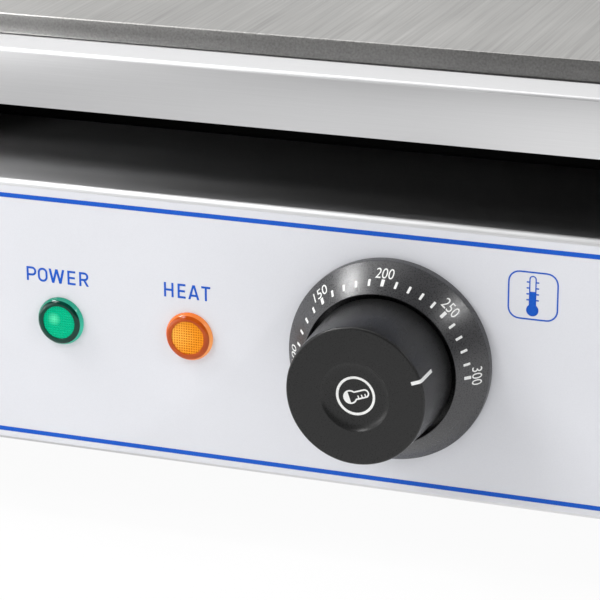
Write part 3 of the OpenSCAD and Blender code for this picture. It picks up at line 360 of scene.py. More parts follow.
def tidy_shell() -> None:
    """Merges doubles and turns the faces outwards, in edit mode."""
    bpy.ops.mesh.select_all(action="SELECT")
    bpy.ops.mesh.remove_doubles(threshold=MERGE)
    bpy.ops.mesh.normals_make_consistent(inside=False)


def chain(points: Sequence[Vector]) -> Object:
    """Draws a run of edges through points, from a plane merged to its middle.

    Args:
        points: Places in the frame, in metres.

    Returns:
        The object, at the origin.
    """
    bpy.ops.object.select_all(action="DESELECT")
    bpy.ops.mesh.primitive_plane_add(size=MM, location=points[0])
    piece = bpy.context.object
    bpy.ops.object.transform_apply()
    with editing(piece):
        bpy.ops.mesh.merge(type="CENTER")
        for start, end in zip(points, points[1:]):
            push(end - start)
    return piece


def swept(points: Sequence[Vector], *steps: Vector) -> Object:
    """Draws a run of edges and extrudes it into a sheet.

    Args:
        points: The run's places.
        steps: The moves that the run makes, one after another.

    Returns:
        The sheet, with no thickness.
    """
    piece = chain(points)
    with editing(piece):
        for step in steps:
            push(step)
    return piece


def plate(points: Sequence[Vector], step: Vector | None = None) -> Object:
    """Fills a closed outline, and thickens it if a step is given.

    Args:
        points: The outline's places, without the first one repeated.
        step: The extrusion from the outline to its far side.

    Returns:
        The flat face or the closed solid.
    """
    piece = chain([*points, points[0]])
    with editing(piece):
        bpy.ops.mesh.remove_doubles(threshold=MERGE)
        bpy.ops.mesh.edge_face_add()
        if step is not None:
            push(step)
            tidy_shell()
    return piece


def outlined(points: Sequence[Vector], width: float) -> Object:
    """Draws a closed outline as a flat line of a width in millimetres, inside the points."""
    piece = plate(points)
    with editing(piece):
        bpy.ops.mesh.inset(thickness=width * MM)
        bpy.ops.mesh.delete(type="FACE")
    return piece


def turned(profile: Flat, centre: Vector, axis: Vector, steps: int) -> Object:
    """Spins a profile once round an axis.

    Args:
        profile: Pairs of radius and height along the axis, in millimetres.
        centre: The axis' foot, in metres.
        axis: Its direction; the profile is drawn to the right of it.
        steps: Segments of the turn.

    Returns:
        The turned shape.
    """
    piece = chain([centre + (RIGHT * p[0] + axis * p[1]) * MM for p in profile])
    with editing(piece):
        bpy.ops.mesh.spin(steps=steps, angle=2 * pi, center=centre, axis=axis)
        tidy_shell()
    return piece


def arc(radius: float, start: float, sweep: float, steps: int) -> list[Vector]:
    """Lists points on an arc about the origin, from an angle through a sweep, both in radians."""
    turns = (start + sweep * k / steps for k in range(steps + 1))
    return [Vector((radius * cos(turn), radius * sin(turn))) for turn in turns]


def rounded(corners: Flat, radii: Sequence[float], steps: int = 8) -> list[Vector]:
    """Rounds the inner corners of a path of straight runs.

    Args:
        corners: The path's corners in the plane.
        radii: A radius for each corner but the first and last; 0 leaves it sharp.
        steps: Segments of each arc.

    Returns:
        The path's points.
    """
    corners = [Vector(corner) for corner in corners]
    path = [corners[0]]
    for before, corner, after, radius in zip(corners, corners[1:], corners[2:], radii):
        if not radius:
            path.append(corner)
            continue
        back, ahead = (before - corner).normalized(), (after - corner).normalized()
        half = back.angle(ahead) / 2
        middle = corner + (back + ahead).normalized() * (radius / sin(half))
        across = (corner - middle).normalized()
        along = (ahead - back).normalized()
        for k in range(steps + 1):
            turn = (pi / 2 - half) * (2 * k / steps - 1)
            path.append(middle + (across * cos(turn) + along * sin(turn)) * radius)
    return [*path, corners[-1]]


def box_outline(width: float, height: float, radius: float, steps: int = 6) -> list[Vector]:
    """Lists a rectangle with round corners about its middle, as a closed outline in the plane."""
    w, h = width / 2, height / 2
    corners = ((0, -h), (w, -h), (w, h), (-w, h), (-w, -h), (0, -h))
    return rounded(corners, [radius] * 4, steps)[:-1]


def thermometer(bulb_r: float, stem_r: float, top: float, domed: bool = True) -> list[Vector]:
    """Lists the outline of a thermometer sign that stands on its bulb.

    Args:
        bulb_r: Radius of the bulb, whose middle is the origin.
        stem_r: Half the stem's width.
        top: Height of the stem's end.
        domed: Whether that end is round.

    Returns:
        Points in the plane.
    """
    neck = asin(stem_r / bulb_r)
    bulb = arc(bulb_r, pi / 2 - neck, 2 * (neck - pi), 24)
    if not domed:
        return bulb + [Vector((-stem_r, top)), Vector((stem_r, top))]
    return bulb + [spot + Vector((0, top - stem_r)) for spot in arc(stem_r, pi, -pi, 12)]


def modify(piece: Object, kind: str, **settings: object) -> None:
    """Adds a modifier with its settings to a piece and applies it."""
    pick(piece)
    bpy.ops.object.modifier_add(type=kind)
    modifier = piece.modifiers[-1]
    for key, value in settings.items():
        setattr(modifier, key, value)
    bpy.ops.object.modifier_apply(modifier=modifier.name)


def thicken(piece: Object, thickness: float, edge: float = 0.0, offset: float = 0.0) -> None:
    """Gives a sheet its thickness and rounds its cut edges, in millimetres."""
    modify(piece, "SOLIDIFY", thickness=thickness * MM, offset=offset)
    if edge:
        soften(piece, edge)


def soften(piece: Object, width: float, segments: int = 2, angle: float = 50.0) -> None:
    """Rounds the edges of a piece that are sharper than an angle in degrees."""
    modify(
        piece,
        "BEVEL",
        width=width * MM,
        segments=segments,
        limit_method="ANGLE",
        angle_limit=radians(angle),
    )


def cut(piece: Object, cutter: Object) -> None:
    """Cuts a closed shape out of a piece and removes the shape."""
    modify(piece, "BOOLEAN", object=cutter, operation="DIFFERENCE", solver="EXACT")
    bpy.data.objects.remove(cutter)


def drill(
    piece: Object, spot: Vector, axis: Vector, radius: float, reach: float, steps: int
) -> None:
    """Bores a round hole through a piece.

    Args:
        piece: The piece.
        spot: A place on the hole's axis, in metres.
        axis: The axis' direction.
        radius: The hole's radius, in millimetres.
        reach: How far the drill stands out to either side of the spot.
        steps: Segments of the hole.
    """
    profile = ((0, -reach), (radius, -reach), (radius, reach), (0, reach))
    cut(piece, turned(profile, spot, axis, steps))


def joined(pieces: Sequence[Object]) -> Object:
    """Joins pieces into one object."""
    pick(*pieces)
    bpy.ops.object.join()
    return bpy.context.object


def drop_faces(piece: Object, test: Callable[[Vector], bool]) -> None:
    """Deletes the faces whose middle passes a test."""
    with editing(piece):
        bpy.ops.mesh.select_mode(type="FACE")
        bpy.ops.mesh.select_all(action="DESELECT")
    for face in piece.data.polygons:
        face.select = test(face.center)
    pick(piece)
    bpy.ops.object.mode_set(mode="EDIT")
    bpy.ops.mesh.delete(type="FACE")
    bpy.ops.object.mode_set(mode="OBJECT")


def laid(points: Flat, place: Matrix) -> list[Vector]:
    """Lays flat points in millimetres on a place in the frame."""
    return [place @ Vector((p[0] * MM, p[1] * MM, 0)) for p in points]


def word(text: str, width: float, height: float, place: Matrix) -> Object:
    """Sets a word or number as a flat mesh.

    Args:
        text: The characters.
        width: The width that they fill, in millimetres.
        height: The height that they fill.
        place: Where their middle goes, facing local Z.

    Returns:
        The mesh, in place.
    """
    bpy.ops.object.select_all(action="DESELECT")
    bpy.ops.object.text_add()
    letters = bpy.context.object
    letters.data.body = text
    letters.data.resolution_u = 6
    bpy.ops.object.convert(target="MESH")
    piece = bpy.context.object
    bpy.ops.object.origin_set(type="ORIGIN_GEOMETRY", center="BOUNDS")
    size = piece.dimensions
    piece.matrix_world = place @ Matrix.Diagonal((width * MM / size.x, height * MM / size.y, 1, 1))
    bpy.ops.object.transform_apply()
    with editing(piece):
        bpy.ops.mesh.remove_doubles(threshold=MERGE)
    return piece


def ribbon(path: Sequence[Vector], width: float) -> list[Vector]:
    """Lists the outline of a line of some width along a flat path, with mitred corners."""
    sides: tuple[list[Vector], list[Vector]] = ([], [])
    for before, spot, after in zip([path[0], *path], path, [*path[1:], path[-1]]):
        steps = [step.normalized() for step in (spot - before, after - spot) if step.length]
        square = (steps[0] + steps[-1]).normalized().orthogonal()
        reach = width / 2 / square.dot(steps[0].orthogonal())
        sides[0].append(spot + square * reach)
        sides[1].append(spot - square * reach)
    return sides[0] + sides[1][::-1]


@dataclass(frozen=True)
class Capital:
    """A plain capital letter of even strokes in a box, in millimetres."""

    letter: str
    width: float
    height: float
    stroke: float = 0.8

    def bar(self, x0: float, y0: float, x1: float, y1: float) -> Flat:
        """Lists the corners of an upright box."""
        return (x0, y0), (x1, y0), (x1, y1), (x0, y1)

    def bowl(self, x: float, low: float, high: float, side: float) -> list[Vector]:
        """Lists a round stroke that leaves x and comes back to it.

        Args:
            x: Where the stroke begins and ends.
            low: The height of its lower end, in the stroke's middle.
            high: The height of its upper end.
            side: How far it swings out, to the right or, if negative, to the left.

        Returns:
            The stroke's outline.
        """
        corners = self.bar(x, high, x + side, low)
        radius = 0.99 * min((high - low) / 2, abs(side))
        return ribbon(rounded(corners, [radius] * 2, 7), self.stroke)

    def shapes(self) -> list[Flat]:
        """Lists the outlines that make the letter up."""
        s, w, h = self.stroke, self.width, self.height
        t, mid = s / 2, h / 2
        stem = self.bar(0, 0, s, h)
        match self.letter:
            case "P":
                return [stem, self.bowl(s, 0.43 * h, h - t, w - t - s)]
            case "R":
                low = 0.46 * h
                leg = [(0.45 * w, low - t), (0.45 * w + 1.15 * s, low - t), (w, 0), (w - 1.15 * s, 0)]
                return [stem, self.bowl(s, low, h - t, 0.96 * w - t - s), leg]
            case "O":
                return [self.bowl(w / 2, t, h - t, side * (w / 2 - t)) for side in (-1, 1)]
            case "E":
                arms = ((0, w), (mid - t, 0.92 * w), (h - s, w))
                return [stem, *(self.bar(s, y, x, y + s) for y, x in arms)]
            case "H":
                return [stem, self.bar(w - s, 0, w, h), self.bar(s, mid - t, w - s, mid + t)]
            case "T":
                return [self.bar(0, h - s, w, h), self.bar(w / 2 - t, 0, w / 2 + t, h - s)]
            case "A":
                b, top, y = 1.08 * s, 0.8 * h, 0.2 * h
                inner = [b + (w / 2 - b) * level / top for level in (y, y + s)]
                leg = [(0, 0), (b, 0), (w / 2, top), (w / 2, h), (w / 2 - 0.6 * s, h)]
                cross = [(inner[0], y), (w - inner[0], y), (w - inner[1], y + s), (inner[1], y + s)]
                return [leg, [(w - x, z) for x, z in leg], cross]
        # The letter left is W: two notches from above and a foot on either side, in one outline
        b, x1, x2 = 1.15 * s, 0.27 * w, 0.5 * w
        notch = b / (x2 - b / 2)
        left = [(0, h), (b, h), (x1 - b / 2 + (x2 - x1) * notch, notch * h), (x2 - b / 2, h)]
        foot = [(x2, h * (1 - b / 2 / (x2 - x1))), (x1 + b / 2, 0), (x1 - b / 2, 0)]
        right = [(w - x, y) for x, y in left[::-1]] + [(w - x, y) for x, y in foot[:0:-1]]
        return [left + right + foot]


def wrap(print_piece: Object, target: Object) -> None:
    """Presses a flat print onto a curved piece and gives it its ink's thickness."""
    modify(
        print_piece,
        "SHRINKWRAP",
        target=target,
        wrap_method="NEAREST_SURFACEPOINT",
        wrap_mode="ABOVE_SURFACE",
        offset=(INK_LIFT + INK_T) * MM,
    )
    thicken(print_piece, INK_T)


def dress(piece: Object, finish: Finish) -> None:
    """Gives an object one material."""
    piece.data.materials.clear()
    piece.data.materials.append(finish.material())


def dress_part(piece: Object, finish: Finish, test: Callable[[Vector, Vector], bool]) -> None:
    """Gives a further material to the faces whose middle and normal pass a test."""
    piece.data.materials.append(finish.material())
    last = len(piece.data.materials) - 1
    for face in piece.data.polygons:
        if test(face.center, face.normal):
            face.material_index = last


def settle(
    piece: Object, name: str, body: str, slot: str, finish: Finish, stands_for: Sequence[str] = ()
) -> Object:
    """Finishes a piece: its name, shading, material, body and the nodes that it stands for.

    Args:
        piece: The finished mesh.
        name: The piece's name.
        body: The body that it moves with.
        slot: The record's material slot; not used.
        finish: Its surface.
        stands_for: Nodes that aren't shown beside it.

    Returns:
        The piece.
    """
    pick(piece)
    bpy.ops.object.transform_apply()
    bpy.ops.object.shade_smooth_by_angle(angle=radians(SMOOTH_ANGLE))
    piece.name = piece.data.name = name
    dress(piece, finish)
    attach(piece, body)
    if stands_for:
        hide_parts(*stands_for)
    LOG.info("%s: %d faces on %s", name, len(piece.data.polygons), body)
    return piece


@dataclass
class ControlPanel:
    """The folded front panel with its printed overlay."""

    half_w: float = 275.0
    base_z: float = 32.0
    ledge_z: float = 135.0
    middle_z: float = 83.5
    sheet_t: float = 1.0
    bend_r: float = 2.5
    foot_r: float = 1.3
    ledge_d: float = 84.0
    baffle_h: float = 14.0
    flange_w: float = 12.0
    end_inset: float = 1.2
    film_t: float = 0.25
    film_half_w: float = 272.4
    film_end: float = 0.5
    cut_edge: float = 0.15
    dial_x: float = 100.0
    hole_r: float = 5.0
    line_rise: float = 45.3
    line_drop: float = 47.0
    line_w: float = 1.7
    # The sign's place from the dial's middle, its frame, and the thermometer in it
    sign_x: float = 50.98
    sign_rise: float = 28.8
    sign_w: float = 18.0
    sign_h: float = 17.6
    sign_r: float = 4.2
    sign_line: float = 0.55
    stem_x: float = -0.15
    stem_r: float = 1.3
    stem_h: float = 12.5
    stem_line: float = 0.42
    bulb_drop: float = 5.2
    bulb_r: float = 2.2
    fill_inset: float = 0.35
    fill_h: float = 6.7
    mark_x: float = 1.75
    mark_l: float = 0.95
    mark_w: float = 0.5
    mark_pitch: float = 2.15
    mark_drop: float = 1.55
    # How far up faces of the top bend turn; the ledge lies flatter
    bend_turn: tuple[float, float] = (0.05, 0.9)

    def build_sheet(self) -> None:
        """Folds the panel: baffle, ledge, face and bottom flange."""
        t = self.sheet_t / 2
        back, top, low = self.ledge_d - t, self.ledge_z - t, self.base_z + t
        corners = (
            (back, self.ledge_z + self.baffle_h),
            (back, top),
            (t, top),
            (t, low),
            (self.flange_w, low),
        )
        path = rounded(corners, [self.bend_r - t, self.bend_r - t, self.foot_r - t])
        points = [at(-self.half_w, p[0], p[1]) for p in path]
        end, middle = self.end_inset * MM, 2 * (self.half_w - self.end_inset) * MM
        sheet = swept(points, RIGHT * end, RIGHT * middle, RIGHT * end)
        inner_x, behind = (self.half_w - self.end_inset) * MM, at(0, self.sheet_t, 0).y
        drop_faces(sheet, lambda c: abs(c.x) > inner_x and c.y > behind)
        thicken(sheet, self.sheet_t, self.cut_edge)
        drill(sheet, at(self.dial_x, 0, self.middle_z), FRONT, self.hole_r, 3 * self.sheet_t, 32)
        settle(sheet, "panel_sheet", "case", "case_steel", STAINLESS_SHEET, ["front_panel"])
        baffle = at(0, self.ledge_d - 2 * self.bend_r, 0).y
        least, most = self.bend_turn
        # The baffle and the sheet behind it are painted black as shade in the gap under the lip
        dress_part(sheet, GAP_SHADE_BLACK, lambda middle, normal: middle.y > baffle)
        # The flat ledge takes a darker copy of the sheet as painted shade under the lip
        dress_part(sheet, LEDGE_SHADE_SHEET, lambda middle, normal: normal.z >= most and middle.y < baffle)
        # The top bend takes a lighter copy of the sheet as a painted highlight
        dress_part(sheet, BEND_HIGHLIGHT_SHEET, lambda middle, normal: least < normal.z < most and middle.y < baffle)

    def print_place(self, x: float, z: float) -> Matrix:
        """Gives the place on the overlay's face for a print about (x, z)."""
        return Matrix.Translation(at(x, -self.film_t - INK_LIFT, z)) @ ON_PANEL

    def build_lines(self) -> None:
        """Prints the two blue lines along the overlay."""
        lines = []
        for z in (self.middle_z + self.line_rise, self.middle_z - self.line_drop):
            outline = box_outline(2 * (self.film_half_w - self.film_end), self.line_w, 0.3, 2)
            lines.append(plate(laid(outline, self.print_place(0, z)), FRONT * INK_T * MM))
        settle(joined(lines), "print_lines", "case", "panel_film", BLUE_INK)

    def build_words(self) -> None:
        """Prints the words above the lamps, each letter between its two edges."""
        words = []
        for letters, edges, low, high in (
            ("POWER", (-40.9, -37.0, -36.4, -32.5, -32.0, -25.7, -24.5, -21.3, -19.8, -16.0), 13.3, 18.7),
            ("HEAT", (13.7, 17.4, 19.0, 22.1, 23.1, 27.4, 28.2, 31.7), 13.1, 18.6),
        ):
            for letter, x0, x1 in zip(letters, edges[::2], edges[1::2]):
                place = self.print_place(x0, self.middle_z + low)
                shapes = Capital(letter, x1 - x0, high - low).shapes()
                words += [plate(laid(shape, place)) for shape in shapes]
        piece = joined(words)
        thicken(piece, INK_T)
        settle(piece, "print_words", "case", "panel_film", BLUE_INK)

    def build_sign(self) -> None:
        """Prints the temperature sign: a thermometer in a rounded square."""
        place = self.print_place(self.dial_x + self.sign_x, self.middle_z + self.sign_rise)
        lower = place @ Matrix.Translation((self.stem_x * MM, -self.bulb_drop * MM, 0))
        square = box_outline(self.sign_w, self.sign_h, self.sign_r)
        tube = thermometer(self.bulb_r, self.stem_r, self.stem_h)
        fill = thermometer(self.bulb_r - self.fill_inset, self.stem_r - self.fill_inset, self.fill_h, False)
        lines = [
            outlined(laid(square, place), self.sign_line),
            outlined(laid(tube, lower), self.stem_line),
            plate(laid(fill, lower)),
        ]
        mark = box_outline(self.mark_l, self.mark_w, 0.12, 2)
        for x in (self.stem_x - self.mark_x, self.stem_x + self.mark_x):
            for k in range(4):
                z = self.mark_pitch * k - self.mark_drop
                lines.append(plate(laid(mark, place @ Matrix.Translation((x * MM, z * MM, 0)))))
        piece = joined(lines)
        thicken(piece, INK_T)
        settle(piece, "print_sign", "case", "panel_film", BLUE_INK)

    def build(self) -> None:
        """Builds the sheet and its prints."""
        self.build_sheet()
        self.build_lines()
        self.build_words()
        self.build_sign()


@dataclass
class ThermostatDial:
    """The scale bezel on the panel and the knob that turns in it."""

    x: float = 100.0
    z: float = 83.5
    lift: float = 0.25
    rim_r: float = 37.1
    rim_h: float = 3.6
    rim_t: float = 2.6
    mouth_r: float = 27.7
    mouth_h: float = 3.0
    height: float = 14.3
    floor_t: float = 2.0
    bore_r: float = 8.0
    tick_r: float = 31.15
    tick_l: float = 2.8
    tick_w: float = 0.9
    main_tick_w: float = 1.2
    number_r: float = 33.7
    number_h: float = 4.15
    digit_w: float = 2.2
    knob_r: float = 24.9
    knob_foot_r: float = 26.2
    knob_foot_h: float = 12.8
    knob_h: float = 41.0
    knob_round: float = 0.9
    knob_wall: float = 2.2
    hub_r: float = 6.0
    hub_drop: float = 4.0
    socket_r: float = 3.2
    socket_h: float = 18.6
    dish_r: float = 12.5
    dish_depth: float = 1.6
    dish_steps: int = 24
    # Powers of the dish's bowl and of its steep rim, with half its depth each
    bowl_power: float = 2.4
    edge_power: float = 16.0
    crown: float = 0.25
    pointer: float = 20.0
    pointer_r: float = 21.4
    pointer_end_h: float = 30.0
    pointer_w: float = 1.24
    # The badge, drawn flat above the dish's floor, set a little smaller and pressed on
    badge_rise: float = 0.5
    badge_scale: float = 0.975
    badge_r: float = 7.2
    badge_line: float = 0.9
    bulb_r: float = 2.6
    bulb_drop: float = 2.1
    stem_r: float = 1.65
    stem_h: float = 7.3
    stem_line: float = 0.55
    fill_r: float = 2.1
    # Where the arc round the bulb's fill starts and how far it runs, in half turns
    fill_arc: tuple[float, float] = (1.06, 0.88)
    mark_x: float = 0.62
    mark_l: float = 1.0
    mark_w: float = 0.45
    mark_rise: float = 2.9
    mark_pitch: float = 1.35
    # The scale: its last value, its steps from tick to tick and from number to number, and its turn
    last_value: int = 300
    tick_step: int = 10
    number_step: int = 50
    top_value: int = 200
    degrees_per_kelvin: float = 0.9

    def __post_init__(self) -> None:
        """Works out the dial's centre and the slope of its scale."""
        self.centre = at(self.x, 0, self.z)
        self.slope = (self.height - self.rim_h) / (self.rim_r - self.mouth_r)

    def scale_place(self, radius: float, angle: float) -> Matrix:
        """Gives a place on the sloping scale.

        Args:
            radius: Distance from the dial's axis, in millimetres.
            angle: Degrees from the right, upwards.

        Returns:
            A matrix whose X runs along the scale, Y outwards down the slope and Z off its face.
        """
        out = RIGHT * cos(radians(angle)) + UP * sin(radians(angle))
        down = (out - FRONT * self.slope).normalized()
        off = (FRONT + out * self.slope).normalized()
        along = down.cross(off)
        lift = self.lift + self.rim_h + (self.rim_r - radius) * self.slope
        spot = self.centre + (out * radius + FRONT * lift) * MM + off * INK_LIFT * MM
        return Matrix.Translation(spot) @ Matrix((along, down, off)).transposed().to_4x4()

    def build_bezel(self) -> Object:
        """Turns the bezel: a ring on the panel with a sloping face round the knob.

        Returns:
            The bezel, for the scale to be pressed on.
        """
        corners = (
            (self.bore_r, 0),
            (self.rim_r, 0),
            (self.rim_r, self.rim_h),
            (self.mouth_r, self.height),
            (self.mouth_r, self.height - self.mouth_h),
            (self.rim_r - self.rim_t, self.floor_t),
            (self.bore_r, self.floor_t),
            (self.bore_r, 0),
        )
        lifted = [(r, h + self.lift) for r, h in corners]
        radii = [0.4, 0.7, 0.3, 0.4, 0.5, 0]
        piece = turned(rounded(lifted, radii, 5), self.centre, FRONT, 144)
        return settle(piece, "bezel_ring", "case", "bezel_plastic", BEZEL_PLASTIC, ["dial_bezel"])

    def build_scale(self, bezel: Object) -> None:
        """Prints the ticks and numbers of the scale.

        Args:
            bezel: The ring that carries them.
        """
        marks = []
        for value in range(0, self.last_value + 1, self.tick_step):
            angle = 90 - (value - self.top_value) * self.degrees_per_kelvin
            major = value % self.number_step == 0
            outline = box_outline(self.main_tick_w if major else self.tick_w, self.tick_l, 0.2, 2)
            marks.append(plate(laid(outline, self.scale_place(self.tick_r, angle))))
            if major:
                width = self.digit_w * len(str(value))
                place = self.scale_place(self.number_r, angle)
                marks.append(word(str(value), width, self.number_h, place))
        scale = joined(marks)
        wrap(scale, bezel)
        settle(scale, "bezel_scale", "case", "bezel_plastic", WHITE_INK)

    def build_knob(self) -> Object:
        """Turns the knob: a tapered skirt, a soft edge, a crowned front with a dish, and a hub.

        Returns:
            The knob, for its prints to be pressed on.
        """
        floor = self.knob_h - self.dish_depth
        dish = []
        for share in (k / self.dish_steps for k in range(self.dish_steps)):
            rise = (share**self.bowl_power + share**self.edge_power) / 2
            dish.append((self.dish_r * share, floor + self.dish_depth * rise))
        inner_h, hub_h = floor - self.knob_wall, self.knob_foot_h - self.hub_drop
        corners = (
            dish[-1],
            (self.dish_r + 0.05, self.knob_h),
            (self.knob_r, self.knob_h - self.crown),
            (self.knob_foot_r, self.knob_foot_h),
            (self.knob_foot_r - self.knob_wall, self.knob_foot_h),
            (self.knob_r - self.knob_wall, inner_h),
            (self.hub_r, inner_h),
            (self.hub_r, hub_h),
            (self.socket_r, hub_h),
            (self.socket_r, self.socket_h),
            (0, self.socket_h),
        )
        radii = [0.5, self.knob_round, 0.5, 0.4, 1, 1, 0.3, 0.3, 0]
        piece = turned(dish[:-1] + rounded(corners, radii, 7), self.centre, FRONT, 144)
        return settle(piece, "knob_cap", "knob", "knob_plastic", KNOB_PLASTIC, ["control_knob"])

    def build_pointer(self) -> None:
        """Prints the pointer from the knob's front over its edge and down its side."""
        out = RIGHT * cos(radians(self.pointer)) + UP * sin(radians(self.pointer))
        along = UP * cos(radians(self.pointer)) - RIGHT * sin(radians(self.pointer))
        lift = INK_LIFT + INK_T / 2
        taper = (self.knob_foot_r - self.knob_r) / (self.knob_h - self.knob_foot_h)
        end_h = self.pointer_end_h
        corners = (
            (self.pointer_r, self.knob_h - 0.7 * self.crown + lift),
            (self.knob_r + lift, self.knob_h - self.crown + lift),
            (self.knob_r + taper * (self.knob_h - end_h) + lift, end_h),
        )
        path = rounded(corners, [self.knob_round + lift], 10)
        half = along * self.pointer_w / 2 * MM
        points = [self.centre + (out * p[0] + FRONT * p[1]) * MM - half for p in path]
        piece = swept(points, 2 * half)
        thicken(piece, INK_T)
        settle(piece, "knob_pointer", "knob", "knob_plastic", WHITE_INK)

    def build_badge(self, knob: Object) -> None:
        """Prints the ring and the thermometer in the knob's dish.

        Args:
            knob: The cap that carries them.
        """
        turn = Matrix.Rotation(radians(self.pointer - 90), 4, "Z")
        spot = self.centre + FRONT * (self.knob_h - self.dish_depth + self.badge_rise) * MM
        place = Matrix.Translation(spot) @ ON_PANEL @ turn @ Matrix.Scale(self.badge_scale, 4)
        low = place @ Matrix.Translation((0, -self.bulb_drop * MM, 0))
        ring = arc(self.badge_r, 0, 2 * pi, 72)[:-1]
        tube = thermometer(self.bulb_r, self.stem_r, self.stem_h)
        start, sweep = (pi * part for part in self.fill_arc)
        lines = [
            outlined(laid(ring, place), self.badge_line),
            outlined(laid(tube, low), self.stem_line),
            plate(laid(arc(self.fill_r, start, sweep, 16), low)),
        ]
        mark = box_outline(self.mark_l, self.mark_w, 0.1, 2)
        for k in range(3):
            rise = self.mark_rise + self.mark_pitch * k
            lines.append(plate(laid(mark, low @ Matrix.Translation((self.mark_x * MM, rise * MM, 0)))))
        badge = joined(lines)
        wrap(badge, knob)
        settle(badge, "knob_badge", "knob", "knob_plastic", WHITE_INK)

    def build(self) -> None:
        """Builds the bezel, its scale, the knob and its prints."""
        self.build_scale(self.build_bezel())
        knob = self.build_knob()
        self.build_pointer()
        self.build_badge(knob)


@dataclass(frozen=True)
class LampColour:
    """A pilot lamp's material slot, its edge finish darkened as painted shade, and the dark, light and
    painted-glow colours of its parts, whose pits are darker as painted shade.

    The face's glow, painted on, is brightest at bulb, off its middle to the right and up, and spreads by
    the reach, all in millimetres.
    """

    slot: str
    edge: Finish
    bulb: tuple[float, float]
    reach_mm: float
    wall: tuple[str, str, str]
    ridge: tuple[str, str, str]
    pit: tuple[str, str, str]


class LampKind(Enum):
    """The two pilot lamps on the panel."""

    GREEN = LampColour(
        "green_lens",
        GREEN_EDGE_SHADE,
        bulb=(-2.0, 1.1),
        reach_mm=2.7,
        wall=("#0a6a54", "#0e8068", "#50e0c0"),
        ridge=("#00a47c", "#00b288", "#8cffd0"),
        pit=("#008c64", "#009870", "#70ffc0"),
    )
    AMBER = LampColour(
        "amber_lens",
        AMBER_EDGE_SHADE,
        bulb=(-5.0, 0.5),
        reach_mm=8.0,
        wall=("#c05a18", "#d06a20", "#ffc078"),
        ridge=("#e09020", "#e89c2a", "#ffd870"),
        pit=("#6e3a02", "#7a4204", "#a86008"),
    )


